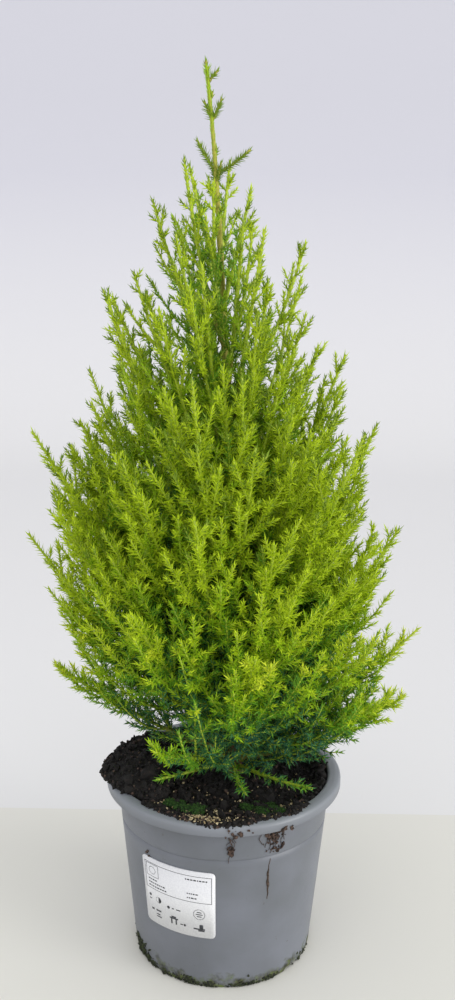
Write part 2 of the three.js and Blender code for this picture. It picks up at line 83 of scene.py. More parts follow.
# Label
LABEL_FROM = -47.5
LABEL_TO = -3.0
LABEL_LOW = 27.5
LABEL_HIGH = 62.0
LABEL_CORNER = 2.0
LABEL_THICKNESS = 0.3
SEAT_GAP = 0.3

# Trunk
TRUNK_FOOT = 86.3
TRUNK_TIP = 350.0
LEADER_TOP = 413.0
FOOT_X = 5.0
LEAN_X = -14.0
LEAN_POWER = 1.7
BOW_Y = 2.0
COLLAR_RADIUS = 5.0
FOOT_TRUNK_RADIUS = 3.3
TIP_TRUNK_RADIUS = 1.1
FLARE_HEIGHT = 7.0
TRUNK_TAPER = 0.9

# Plan of the crown, as in the part's source: height on the trunk, azimuth, reach and rise
REACH_BY_HEIGHT = (
    (90, 96, 110, 150, 190, 225, 260, 300, 345),
    (62, 74, 78, 74, 60, 50, 36, 24, 12),
)
RISE_ANGLE_BY_HEIGHT = (
    (90, 94, 108, 125, 150, 200, 260, 345),
    (6, 20, 40, 50, 57, 61, 67, 73),
)
PROUD_SHOOTS = (
    (108, -97, 101, 93),
    (145, -84, 92, 108),
    (95, -82, 84, 49),
    (225, -97, 55, 88),
    (274, -85, 33, 80),
    (101, 94, 88, 57),
    (92, 78, 80, 41),
    (124, 84, 75, 86),
    (150, 97, 66, 106),
    (196, 86, 50, 92),
    (258, 94, 34, 79),
)
FRONT_SHOOTS = ((103, 10, 56, 60), (116, -22, 50, 66))
LOW_SHOOTS = (
    (92, -52, 45, 3),
    (91, 8, 40, 4),
    (90, 45, 50, 6),
    (92, -148, 52, 10),
    (91, 140, 52, 8),
)
FILL_SHOOTS = 18
FILL_LOW = 96
FILL_HIGH = 316
FILL_POWER = 2
FILL_ARC = 72
FILL_START = 0.31
FILL_SHIFT = 0.19
REACH_SPREAD = 0.2
BEND_OUT = 0.56
BEND_UP = 0.34
SWAY_WIDTH = 8
GOLDEN_TURN = 137.508
GOLDEN_SHARE = 0.618034
SHOOT_POINTS = 25
CURVE_POINTS = 201
LEADER_CURVE_POINTS = 50


# Small helpers
NEARLY_UPRIGHT = 0.9
WAVE_LENGTHS = (0.7, 1.5)
DRAW_FACTOR = 16807
DRAW_MODULUS = 2147483647


def random_sequence(start):
    """The seeded sequence that the part's source draws from."""
    state = start

    def draw():
        nonlocal state
        state = state * DRAW_FACTOR % DRAW_MODULUS
        return state / DRAW_MODULUS

    return draw


def unit(vectors):
    """Vectors scaled to length one."""
    return vectors / np.linalg.norm(vectors, axis=-1, keepdims=True)


def outward(azimuth):
    """Level unit vectors at azimuths in degrees."""
    turn = np.radians(azimuth)
    return np.stack([np.sin(turn), -np.cos(turn), np.zeros_like(turn)], axis=-1)


def square_to(along):
    """Two unit vectors square to each direction and to each other."""
    steep = np.abs(along[..., 2:3]) > NEARLY_UPRIGHT
    reference = np.where(steep, (1.0, 0.0, 0.0), (0.0, 0.0, 1.0))
    across = unit(np.cross(reference, along))
    return across, np.cross(along, across)


def smooth_step(x, low, high):
    """0 below low, 1 above high, and an even rise between them."""
    t = np.clip((x - low) / (high - low), 0, 1)
    return t * t * (3 - 2 * t)


def waves(points, size, rng, count=5):
    """Uneven lumps about size millimetres across, from -1 to 1, made of crossing waves."""
    total = np.zeros(len(points))
    for _ in range(count):
        direction = unit(rng.normal(size=3)) * 2 * math.pi / (size * rng.uniform(*WAVE_LENGTHS))
        total += np.sin(points @ direction + rng.uniform(0, 2 * math.pi))
    return total / count


def add_piece(name, vertices, faces, material, slot, replaces=(), smooth=True):
    """One mesh piece from arrays of corners in millimetres and faces with equal corner counts."""
    mesh = bpy.data.meshes.new(name)
    vertices = np.asarray(vertices, dtype=np.float32) * MM
    faces = np.asarray(faces, dtype=np.int32)
    mesh.vertices.add(len(vertices))
    mesh.vertices.foreach_set("co", vertices.ravel())
    mesh.loops.add(faces.size)
    mesh.loops.foreach_set("vertex_index", faces.ravel())
    mesh.polygons.add(len(faces))
    mesh.polygons.foreach_set("loop_start", np.arange(0, faces.size, faces.shape[1], dtype=np.int32))
    mesh.polygons.foreach_set("use_smooth", np.full(len(faces), smooth))
    mesh.update(calc_edges=True)
    mesh.validate()
    mesh.materials.append(material)
    piece = bpy.data.objects.new(name, mesh)
    bpy.context.scene.collection.objects.link(piece)
    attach(piece, "root")
    if replaces:
        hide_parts(*replaces)
    return piece


def joined(parts):
    """Corner and face arrays of several parts, joined into one of each."""
    vertices = []
    faces = []
    count = 0
    for part_vertices, part_faces in parts:
        vertices.append(part_vertices)
        faces.append(np.asarray(part_faces) + count)
        count += len(part_vertices)
    return np.concatenate(vertices), np.concatenate(faces)


def ring_faces(rings, sides):
    """Triangles between neighbouring rings of corners, outwards where rings turn left about their path."""
    ring = np.arange(rings - 1)[:, None] * sides
    k = np.arange(sides)[None, :]
    a = ring + k
    b = ring + (k + 1) % sides
    quads = np.stack([a, b, b + sides, a + sides], axis=-1).reshape(-1, 4)
    return np.concatenate([quads[:, [0, 1, 2]], quads[:, [0, 2, 3]]])


def tubes(paths, radii, sides):
    """Closed round limbs along paths: arrays of (limb, step, xyz) and (limb, step)."""
    count, steps, _ = paths.shape
    along = np.empty_like(paths)
    along[:, 1:-1] = paths[:, 2:] - paths[:, :-2]
    along[:, 0] = paths[:, 1] - paths[:, 0]
    along[:, -1] = paths[:, -1] - paths[:, -2]
    across, over = square_to(unit(along))
    turn = np.arange(sides) * 2 * math.pi / sides
    ring = across[:, :, None] * np.cos(turn)[:, None] + over[:, :, None] * np.sin(turn)[:, None]
    vertices = paths[:, :, None] + ring * radii[:, :, None, None]
    one = ring_faces(steps, sides)
    caps = [(0, k + 1, k) for k in range(1, sides - 1)]
    last = (steps - 1) * sides
    caps += [(last, last + k, last + k + 1) for k in range(1, sides - 1)]
    one = np.concatenate([one, caps])
    faces = one[None] + (np.arange(count) * steps * sides)[:, None, None]
    return vertices.reshape(-1, 3), faces.reshape(-1, 3)


# Materials
def linear(colour):
    """An sRGB hex colour as the linear colour that a shader takes."""
    shares = [int(colour[i:i + 2], 16) / 255 for i in (1, 3, 5)]
    return [s / 12.92 if s <= 0.04045 else ((s + 0.055) / 1.055) ** 2.4 for s in shares] + [1.0]


def add(material, kind, links=None, stops=None, **settings):
    """Adds a node with its settings, the link or the value of each socket, and its ramp's stops."""
    node = material.node_tree.nodes.new(kind)
    for name, value in settings.items():
        setattr(node, name, value)
    for socket, source in (links or {}).items():
        if isinstance(source, bpy.types.NodeSocket):
            link(material, source, node.inputs[socket])
        else:
            node.inputs[socket].default_value = source
    if stops:
        elements = node.color_ramp.elements
        while len(elements) < len(stops):
            elements.new(0.5)
        for element, (position, colour) in zip(elements, stops):
            element.position = position
            element.color = linear(colour)
    return node


def link(material, source, socket):
    """Joins an output to a socket."""
    material.node_tree.links.new(source, socket)


def new_material(name, colour, roughness, ior=1.5):
    """A material with its plain values, its shader, and the point being shaded, in metres."""
    material = bpy.data.materials.new(name)
    material.use_nodes = True
    shader = material.node_tree.nodes["Principled BSDF"]
    shader.inputs["Base Color"].default_value = linear(colour)
    shader.inputs["Roughness"].default_value = roughness
    shader.inputs["IOR"].default_value = ior
    return material, shader, add(material, "ShaderNodeTexCoord").outputs["Object"]


def noise_scale(size):
    """The scale of a noise pattern whose lumps are size millimetres across."""
    return 1 / (size * MM)


def mottled(name, colour, roughness, size, stops, ior=1.5, detail=3.0, coarseness=0.5, relief=None):
    """A material tinted by lumps about size millimetres across, which relief, a strength and a depth
    in millimetres, also raises."""
    material, shader, where = new_material(name, colour, roughness, ior)
    lump = add(material, "ShaderNodeTexNoise",
               {"Vector": where, "Scale": noise_scale(size), "Detail": detail, "Roughness": coarseness})
    tint = add(material, "ShaderNodeValToRGB", {"Fac": lump.outputs["Fac"]}, stops=stops)
    link(material, tint.outputs["Color"], shader.inputs["Base Color"])
    if relief:
        strength, depth = relief
        bump = add(material, "ShaderNodeBump",
                   {"Height": lump.outputs["Fac"], "Strength": strength, "Distance": depth * MM})
        link(material, bump.outputs["Normal"], shader.inputs["Normal"])
    return material


def cypress_needle(name, colour):
    """Juvenile cypress needle: a soft waxy leaf. The wax gives a faint satin sheen."""
    material, shader, where = new_material(name, colour, 0.55, ior=1.42)
    shader.inputs["Specular IOR Level"].default_value = 0.22
    wax = add(material, "ShaderNodeTexNoise", {"Vector": where, "Scale": noise_scale(1.2), "Detail": 3.0})
    gloss = add(material, "ShaderNodeMapRange", {"Value": wax.outputs["Fac"], "To Min": 0.48, "To Max": 0.66})
    link(material, gloss.outputs["Result"], shader.inputs["Roughness"])
    return material


def young_stem(name, pale, deep):
    """Young cypress stem: green bark under pressed scale leaves, which mottle it along its length."""
    return mottled(name, pale, 0.55, 1.6, ((0.38, pale), (0.62, deep)), ior=1.45, relief=(0.4, 0.2))


YOUNG_WOOD = (180, 300)
YOUNG_TONES = ("#827C2E", "#A39E40", "#B3B350")
BARK_STOPS = (0.3, 0.5, 0.72)


def cypress_bark(name, *tones):
    """Young cypress bark: thin and fibrous, split into fine upright strips, and olive on the young wood.
    The tones run from dark to pale."""
    material, shader, where = new_material(name, tones[1], 0.8)
    stretch = add(material, "ShaderNodeMapping", {"Vector": where, "Scale": (1.0, 1.0, 0.22)})
    fibre = add(material, "ShaderNodeTexNoise",
                {"Vector": stretch.outputs["Vector"], "Scale": noise_scale(0.9), "Detail": 5.0,
                 "Roughness": 0.6})
    old, young = (add(material, "ShaderNodeValToRGB", {"Fac": fibre.outputs["Fac"]},
                      stops=list(zip(BARK_STOPS, colours))) for colours in (tones, YOUNG_TONES))
    height = add(material, "ShaderNodeSeparateXYZ", {"Vector": where})
    low, high = YOUNG_WOOD
    share = add(material, "ShaderNodeMapRange",
                {"Value": height.outputs["Z"], "From Min": low * MM, "From Max": high * MM})
    aged = add(material, "ShaderNodeMix",
               {"Factor": share.outputs["Result"], "A": old.outputs["Color"], "B": young.outputs["Color"]},
               data_type="RGBA")
    link(material, aged.outputs["Result"], shader.inputs["Base Color"])
    bump = add(material, "ShaderNodeBump",
               {"Height": fibre.outputs["Fac"], "Strength": 0.7, "Distance": 0.35 * MM})
    link(material, bump.outputs["Normal"], shader.inputs["Normal"])
    return material


def grey_with_dust_and_rim_highlight(material, where, height):
    """The pot's grey: clouded, specked with dirt, and paler at the top of the rim, with dust and a painted
    highlight.
    """
    cloud = add(material, "ShaderNodeTexNoise", {"Vector": where, "Scale": noise_scale(26), "Detail": 4.0})
    grey = add(material, "ShaderNodeValToRGB", {"Fac": cloud.outputs["Fac"]},
               stops=((0.3, "#666A70"), (0.7, "#737780")))
    speck = add(material, "ShaderNodeTexNoise",
                {"Vector": where, "Scale": noise_scale(2.6), "Detail": 2.0, "Roughness": 0.7})
    specked = add(material, "ShaderNodeMapRange",
                  {"Value": speck.outputs["Fac"], "From Min": 0.70, "From Max": 0.76, "To Max": 0.55})
    dusty = add(material, "ShaderNodeMix",
                {"Factor": specked.outputs["Result"], "A": grey.outputs["Color"], "B": linear("#55544F")},
                data_type="RGBA")
    # The top of the rim is paler: dust, and a painted highlight
    rim = add(material, "ShaderNodeMapRange",
              {"Value": height, "From Min": 82 * MM, "From Max": 89 * MM, "To Max": 0.5})
    dust_and_rim_highlight = add(material, "ShaderNodeMix",
               {"Factor": rim.outputs["Result"], "A": dusty.outputs["Result"], "B": linear("#969BA1")},
               data_type="RGBA")
    return dust_and_rim_highlight.outputs["Result"]


def foot_stain(material, where, height):
    """Algae and peat, thick at the very foot, in patches, and gone 14 mm up: how much, and its colour."""
    patch = add(material, "ShaderNodeTexNoise",
                {"Vector": where, "Scale": noise_scale(9), "Detail": 5.0, "Roughness": 0.65})
    wet = add(material, "ShaderNodeMapRange",
              {"Value": height, "From Max": 14 * MM, "To Min": 0.30, "To Max": -0.22})
    both = add(material, "ShaderNodeMath", {0: patch.outputs["Fac"], 1: wet.outputs["Result"]},
               operation="ADD")
    share = add(material, "ShaderNodeMapRange",
                {"Value": both.outputs["Value"], "From Min": 0.56, "From Max": 0.74})
    fleck = add(material, "ShaderNodeTexNoise", {"Vector": where, "Scale": noise_scale(2.2), "Detail": 4.0})
    stain = add(material, "ShaderNodeValToRGB", {"Fac": fleck.outputs["Fac"]},
                stops=((0.36, "#1E201A"), (0.52, "#4A4C36"), (0.66, "#5C6B34")))
    return share.outputs["Result"], stain.outputs["Color"]


def moulded_polypropylene():
    """Injection-moulded grey polypropylene, used and dusty: satin, scuffed, green and black with algae
    and peat at its foot."""
    material, shader, where = new_material("moulded_polypropylene", "#6B6F76", 0.42, ior=1.49)
    height = add(material, "ShaderNodeSeparateXYZ", {"Vector": where}).outputs["Z"]
    stained, stain = foot_stain(material, where, height)
    dirty = add(material, "ShaderNodeMix",
                {"Factor": stained, "A": grey_with_dust_and_rim_highlight(material, where, height), "B": stain}, data_type="RGBA")
    # Wet peat stain and painted shade on the inside wall, which is where a face looks back at the pot's axis
    facing = add(material, "ShaderNodeNewGeometry").outputs["Normal"]
    inward = add(material, "ShaderNodeVectorMath", {0: facing, 1: where}, operation="DOT_PRODUCT")
    inside = add(material, "ShaderNodeMapRange",
                 {"Value": inward.outputs["Value"], "From Min": -14 * MM, "From Max": -34 * MM})
    peat_stain_and_painted_shade = add(material, "ShaderNodeMix",
                {"Factor": inside.outputs["Result"], "A": dirty.outputs["Result"], "B": linear("#1C1A17")},
                data_type="RGBA")
    link(material, peat_stain_and_painted_shade.outputs["Result"], shader.inputs["Base Color"])
    scuff = add(material, "ShaderNodeTexNoise", {"Vector": where, "Scale": noise_scale(0.8), "Detail": 4.0})
    satin = add(material, "ShaderNodeMapRange",
                {"Value": scuff.outputs["Fac"], "To Min": 0.34, "To Max": 0.52})
    dull = add(material, "ShaderNodeMath", {0: stained, 1: 0.4, 2: satin.outputs["Result"]},
               operation="MULTIPLY_ADD")
    link(material, dull.outputs["Value"], shader.inputs["Roughness"])
    bump = add(material, "ShaderNodeBump",
               {"Height": scuff.outputs["Fac"], "Strength": 0.12, "Distance": 0.1 * MM})
    link(material, bump.outputs["Normal"], shader.inputs["Normal"])
    return material


def moist_peat():
    """Moist peat: near black, broken up by brown fibre. Rough, with no shine but a little damp."""
    tones = ((0.35, "#060505"), (0.56, "#110D0B"), (0.74, "#30231A"))
    return mottled("moist_peat", "#1B1512", 0.9, 1.6, tones, detail=6.0, coarseness=0.7, relief=(0.9, 0.6))


def loose_matter(name, dark, pale, roughness=0.85):
    """Loose organic or mineral bits: dull, each with its own mottled shade."""
    return mottled(name, dark, roughness, 1.1, ((0.4, dark), (0.62, pale)), detail=4.0)


def coated_paper():
    """Coated label paper: white, smooth and a little glossy, with the faintest fibre and slow waves."""
    material, shader, where = new_material("coated_paper", "#E4E5E8", 0.35)
    fibre = add(material, "ShaderNodeTexNoise", {"Vector": where, "Scale": noise_scale(0.7), "Detail": 4.0})
    tint = add(material, "ShaderNodeValToRGB", {"Fac": fibre.outputs["Fac"]},
               stops=((0.3, "#DDDEE2"), (0.7, "#ECEDEF")))
    link(material, tint.outputs["Color"], shader.inputs["Base Color"])
    wave = add(material, "ShaderNodeTexNoise", {"Vector": where, "Scale": noise_scale(7), "Detail": 3.0})
    bump = add(material, "ShaderNodeBump",
               {"Height": wave.outputs["Fac"], "Strength": 0.25, "Distance": 0.3 * MM})
    link(material, bump.outputs["Normal"], shader.inputs["Normal"])
    return material


def printing_ink():
    """Black label ink: matt and slightly uneven."""
    return mottled("printing_ink", "#2A2C30", 0.6, 0.5, ((0.35, "#23252A"), (0.7, "#4A4D52")))


def painted_board(name, low, high):
    """Painted board for the studio: matt, its colour running from low to high over its lowest 700 mm,
    with the unevenness of rolled paint. On the backdrop that run is painted shade, darker upwards."""
    material, shader, where = new_material(name, low, 0.7)
    height = add(material, "ShaderNodeSeparateXYZ", {"Vector": where})
    # From low to high up the board: on the backdrop this is painted shade
    share = add(material, "ShaderNodeMapRange", {"Value": height.outputs["Z"], "From Max": 700 * MM})
    tint = add(material, "ShaderNodeValToRGB", {"Fac": share.outputs["Result"]},
               stops=((0.0, low), (1.0, high)))
    link(material, tint.outputs["Color"], shader.inputs["Base Color"])
    rolled = add(material, "ShaderNodeTexNoise", {"Vector": where, "Scale": noise_scale(3.0), "Detail": 3.0})
    bump = add(material, "ShaderNodeBump",
               {"Height": rolled.outputs["Fac"], "Strength": 0.05, "Distance": 0.3 * MM})
    link(material, bump.outputs["Normal"], shader.inputs["Normal"])
    return material


# Trunk and shoots
def trunk_axis(z):
    """Points on the trunk's centre line at heights."""
    z = np.asarray(z, float)
    share = (z - TRUNK_FOOT) / (LEADER_TOP - TRUNK_FOOT)
    x = FOOT_X + LEAN_X * np.maximum(share, 0) ** LEAN_POWER
    return np.stack([x, BOW_Y * np.sin(np.pi * share), z], axis=-1)


def trunk_radius(z):
    """The trunk's radius at heights, with its flare at the foot."""
    share = np.clip((z - TRUNK_FOOT) / (TRUNK_TIP - TRUNK_FOOT), 0, 1)
    flare = np.maximum(1 - (z - TRUNK_FOOT) / FLARE_HEIGHT, 0) ** 2
    straight = FOOT_TRUNK_RADIUS + (TIP_TRUNK_RADIUS - FOOT_TRUNK_RADIUS) * share ** TRUNK_TAPER
    return straight + (COLLAR_RADIUS - FOOT_TRUNK_RADIUS) * flare


def evenly(points, count):
    """A curve's points, spread evenly along its length."""
    along = np.concatenate([[0], np.cumsum(np.linalg.norm(np.diff(points, axis=0), axis=1))])
    spots = np.linspace(0, along[-1], count)
    return np.stack([np.interp(spots, along, points[:, k]) for k in range(3)], axis=-1)


def bent_shoot(height, azimuth, reach, rise, sway):
    """A shoot that leaves the trunk low and bends up to its tip."""
    root = trunk_axis(height)
    level = outward(azimuth)
    tip = root + level * reach + (0, 0, rise)
    bend = root + level * reach * BEND_OUT + outward(azimuth + 90) * sway + (0, 0, rise * BEND_UP)
    t = np.linspace(0, 1, CURVE_POINTS)[:, None]
    return evenly((1 - t) ** 2 * root + 2 * t * (1 - t) * bend + t * t * tip, SHOOT_POINTS)


def plan_shoots():
    """The source's shoots, in the source's order: the lowest first and the leader last."""
    random = random_sequence(SEED)
    rows = [(*row, (random() - 0.5) * SWAY_WIDTH) for row in PROUD_SHOOTS + FRONT_SHOOTS + LOW_SHOOTS]
    for i in range(FILL_SHOOTS):
        height = FILL_LOW + (FILL_HIGH - FILL_LOW) * (i / (FILL_SHOOTS - 1)) ** FILL_POWER
        behind = i % 2
        share = (i // 2 * GOLDEN_SHARE + FILL_START + behind * FILL_SHIFT) % 1
        azimuth = behind * 180 + (2 * share - 1) * FILL_ARC
        reach = np.interp(height, *REACH_BY_HEIGHT) * (1 + (random() - 0.5) * REACH_SPREAD)
        rise = reach * math.tan(math.radians(np.interp(height, *RISE_ANGLE_BY_HEIGHT)))
        rows.append((height, azimuth, reach, rise, (random() - 0.5) * SWAY_WIDTH))
    rows.sort(key=lambda row: row[0])
    leader = evenly(trunk_axis(np.linspace(TRUNK_TIP, LEADER_TOP, LEADER_CURVE_POINTS)), SHOOT_POINTS)
    return np.array([bent_shoot(*row) for row in rows] + inner_shoots() + [leader])


# Reach of the crown from the trunk by height, to the left and to the right in the photo
CROWN_HEIGHTS = (94, 109, 124, 155, 184, 227, 241, 255, 282, 309, 335, 360, 373, 411)
CROWN_LEFT = (34, 52, 76, 80, 86, 86, 81, 72, 56, 52, 34, 22, 10, 4)
CROWN_RIGHT = (50, 68, 76, 77, 74, 67, 65, 62, 50, 38, 36, 19, 10, 4)


def crown_reach(points):
    """How far out the crown reaches at each point's height and side, and how far out the point is."""
    away = (points - trunk_axis(points[:, 2]))[:, :2]
    out = np.linalg.norm(away, axis=1) + 1e-9
    right = (1 + away[:, 0] / out) / 2
    left_reach = np.interp(points[:, 2], CROWN_HEIGHTS, CROWN_LEFT)
    right_reach = np.interp(points[:, 2], CROWN_HEIGHTS, CROWN_RIGHT)
    return left_reach + (right_reach - left_reach) * right, out


# Finer shoots from the trunk that stay inside the crown and hide it, by the same rule
INNER_SHOOTS = 48
INNER_SEED = SEED + 7
INNER_LOW = 104
INNER_HIGH = 235
INNER_POWER = 1.3
LEFT_FULLER = 0.2
INNER_STEEPER = 2
INNER_LEAST = 0.85
INNER_SPREAD = 0.25
INNER_FURTHEST = 0.97
INNER_SHORTER = 0.96

# More of them where the crown is thin: height on the trunk and azimuth
EXTRA_SHOOTS = (
    (128, 14), (140, -40), (150, -14), (161, 34), (174, -30), (186, 4), (200, 30),
    (111, -78), (117, -104), (122, -90), (129, -72), (136, -108), (145, -88),
    (114, 98), (125, 82), (134, 104),
    (224, -24), (240, 28), (254, -42), (268, 14), (281, 150), (294, -12), (308, 48), (318, -70),
    (112, -124), (119, -140), (127, -118),
)


def inner_shoots():
    """Smaller shoots between the planned ones, all round the trunk."""
    random = random_sequence(INNER_SEED)
    shoots = []
    heights = INNER_LOW + (INNER_HIGH - INNER_LOW) * np.linspace(0, 1, INNER_SHOOTS) ** INNER_POWER
    rows = [(height, number * GOLDEN_TURN) for number, height in enumerate(heights)]
    for height, azimuth in rows + list(EXTRA_SHOOTS):
        fuller = 1 + LEFT_FULLER * max(0, -math.sin(math.radians(azimuth)))
        reach = np.interp(height, *REACH_BY_HEIGHT) * fuller * (INNER_LEAST + INNER_SPREAD * random())
        slope = math.tan(math.radians(np.interp(height, *RISE_ANGLE_BY_HEIGHT) + INNER_STEEPER))
        sway = (random() - 0.5) * SWAY_WIDTH
        fits = False
        while not fits:
            shoot = bent_shoot(height, azimuth, reach, reach * slope, sway)
            limit, out = crown_reach(shoot[-1:])
            fits = out[0] <= INNER_FURTHEST * limit[0]
            reach *= INNER_SHORTER
        shoots.append(shoot)
    return shoots


SHOOTS = plan_shoots()


def soil_height(x, y):
    """Height of the soil, as in the part's source."""
    far = smooth_step(np.hypot(x - FOOT_X, y), LEVEL_RADIUS, ROUGH_RADIUS)
    bumps = np.sin(x * 0.31 + 1.3) * np.cos(y * 0.27 - 0.4) + 0.6 * np.sin(x * 0.13 - y * 0.19)
    return SOIL_LEVEL + far * (bumps * SOIL_BUMP - x * SOIL_TILT - 0.7)


LEADER = len(SHOOTS) - 1

# A twig keeps to the space nearer to its own shoot than to any other, give or take this overlap
OVERLAP = 16.0
SOIL_ROOM = 1.0
TRUNK_ROOM = 0.5
POINTS_AT_ONCE = 4000
PLUME_SHOOT_RISE = 12.0

# Share of the crown's reach that plain growth fills, and the room round a shoot's own line
BODY_SHARE = (1.05, 0.93)
SPIRE_WIDTH = 7.0
SPIRE_ROOM = 6.0

# The crown's foot is cut back at the front left
FRONT_CUT = 0.78
FRONT_CUT_AT = -46.0
FRONT_CUT_POWER = 5
FRONT_FOOT = (104, 156)
SPIRE_CUT = 0.45


def has_room(points, own):
    """True for points in their own shoot's space, inside the crown and clear of soil, rim and trunk.

    Only what is close to a shoot's own line goes out to the crown's full reach, so that its tip
    stands alone."""
    free = points[:, 2] > np.maximum(soil_height(points[:, 0], points[:, 1]), RIM_HEIGHT) + SOIL_ROOM
    reach, out = crown_reach(points)
    free &= (out > trunk_radius(points[:, 2]) + TRUNK_ROOM) | (points[:, 2] > TRUNK_TIP)
    axes = SHOOTS.reshape(-1, 3)
    towards = (points - trunk_axis(points[:, 2])) @ outward(FRONT_CUT_AT) / out
    above = smooth_step(points[:, 2], *FRONT_FOOT)
    cut = FRONT_CUT * np.maximum(towards, 0) ** FRONT_CUT_POWER * (1 - above)
    inside = out < by_height(BODY_SHARE, points[:, 2]) * reach * (1 - cut)
    for start in range(0, len(points), POINTS_AT_ONCE):
        some = slice(start, start + POINTS_AT_ONCE)
        near = points[some]
        squares = (near ** 2).sum(1)[:, None] + (axes ** 2).sum(1) - 2 * near @ axes.T
        distances = np.sqrt(np.maximum(squares.reshape(len(near), len(SHOOTS), -1).min(axis=2), 0))
        rows = np.arange(len(near))
        mine = distances[rows, own[some]]
        distances[rows, own[some]] = np.inf
        free[some] &= distances.min(axis=1) > mine - OVERLAP
        flat = SHOOTS[own[some], -1, 2] - SHOOTS[own[some], 0, 2] < PLUME_SHOOT_RISE
        width = SPIRE_WIDTH * np.where(flat, 1, 1 - SPIRE_CUT * cut[some])
        free[some] &= inside[some] | ((mine < width) & (out[some] < reach[some] + SPIRE_ROOM))
    return free


# Rules of the three orders of twig. A pair of values is for low and high in the crown.
PLUME = {"step": (4.7, 14.0), "first": 5.0, "last": 7.0, "share": (0.76, 0.5), "shortest": (12.0, 9.0),
         "longest": (60.0, 30.0), "spread": (35.0, 24.0), "lift": 0.85, "points": 7, "parent": 20.0}
TWIG = {"step": (5.0, 4.8), "first": 3.5, "last": 3.6, "share": (0.42, 0.34), "shortest": (4.4, 4.6),
        "longest": (14.0, 9.0), "spread": (48.0, 44.0), "lift": 0.3, "points": 3, "parent": 9.0}
TWIGLET = {"step": (4.8, 5.0), "first": 3.2, "last": 3.0, "share": (0.45, 0.4), "shortest": (3.0, 2.4),
           "longest": (6.0, 4.0), "spread": (46.0, 38.0), "lift": 0.1, "points": 2, "parent": 10.0}
THIN_TWIG = {**TWIG, "step": (4.2, 4.2), "share": (0.5, 0.5), "shortest": (3.6, 3.6), "longest": (6.8, 6.8)}
LOW_AND_HIGH = (110, 310)

# A twig without room is tried shorter. Flat shoots have shorter twigs.
TWIG_TRIES = (1, 0.78, 0.58)
FLAT_SHOOT_RISE = 26.0
LEAST_FULLNESS = 0.42
ROOT_SHARES = (0.02, 0.98)

# Unevenness of twigs: shares of a step and of a length, and degrees
STEP_JITTER = 0.3
LENGTH_JITTER = (0.72, 1.25)
TURN_JITTER = 20
SPREAD_JITTER = 9

# Needles: the step between whorls, how many times wider it is on the two darkest tints, and sizes
NEEDLE_STEP = (1.75, 1.46)
HIDDEN_STEP = (2.1, 1.45)
NEEDLES_ROUND = 3
NEEDLE_WIDTH = 0.82
NEEDLE_THICKNESS = 0.4
NEEDLE_BY_HEIGHT = ((100, 160, 230, 300, 350), (3.5, 3.6, 3.4, 3.0, 3.0))
SPREAD_BY_HEIGHT = ((100, 230, 300, 350), (54, 50, 50, 54))
NEEDLE_JITTER = (0.78, 1.15)
NEEDLE_TURN_JITTER = 16
NEEDLE_SPREAD_JITTER = 8
WHORL_TURN = 53

# Towards a tip needles get shorter and lean in: where that starts, and the least share of each
TIP_TAPER = 4.5
TIP_SHARE = 0.72
TIP_SPREAD = 0.35
TIP_NEEDLES = 7
TWIGLET_NEEDLES = 5
TIP_LENGTH = 4.2
TIP_BARE = 2.52

# High in the crown needles away from a tip are pressed to their stem
UPPER_PART = (235, 325)
TUFT_FADE = (3.5, 8.4)
PRESSED_SPREAD = 0.45
PRESSED_LENGTH = 0.4


def by_height(pair, z):
    """A value that runs from its low one to its high one with the height in the crown."""
    return np.interp(z, LOW_AND_HIGH, pair)


def on_paths(paths, which, shares):
    """Points on paths by share of their length, and the direction there."""
    steps = paths.shape[1] - 1
    place_on = np.clip(shares, 0, 1) * steps
    before = np.minimum(place_on.astype(int), steps - 1)
    start = paths[which, before]
    step = paths[which, before + 1] - start
    return start + step * (place_on - before)[:, None], unit(step)


def lengths_of(paths):
    """Length of each path."""
    return np.linalg.norm(np.diff(paths, axis=1), axis=2).sum(axis=1)


def spread_along(lengths, first, last, steps):
    """Which path each of a row of places is on, its number there, and its distance from the root."""
    counts = np.maximum(np.floor((lengths - first - last) / steps) + 1, 0).astype(int)
    which = np.repeat(np.arange(len(lengths)), counts)
    number = np.arange(counts.sum()) - np.repeat(np.cumsum(counts) - counts, counts)
    return which, number, np.broadcast_to(first, lengths.shape)[which] + number * steps[which]


def leaning(along, around, spreads):
    """Directions that lean out of their parent's by a spread, at a turn round it, in degrees."""
    across, over = square_to(along)
    turn = np.radians(around)[:, None]
    spread = np.radians(spreads)[:, None]
    aside = across * np.cos(turn) + over * np.sin(turn)
    return along * np.cos(spread) + aside * np.sin(spread)


def grow(roots, directions, lengths, lift, points):
    """Paths of twigs that start along their directions and bend up, the flatter ones more."""
    shares = np.linspace(0, 1, points)[None, :]
    paths = roots[:, None] + directions[:, None] * (lengths[:, None] * shares)[..., None]
    paths[..., 2] += (lengths * lift * (1 - directions[:, 2]))[:, None] * shares ** 2
    return paths


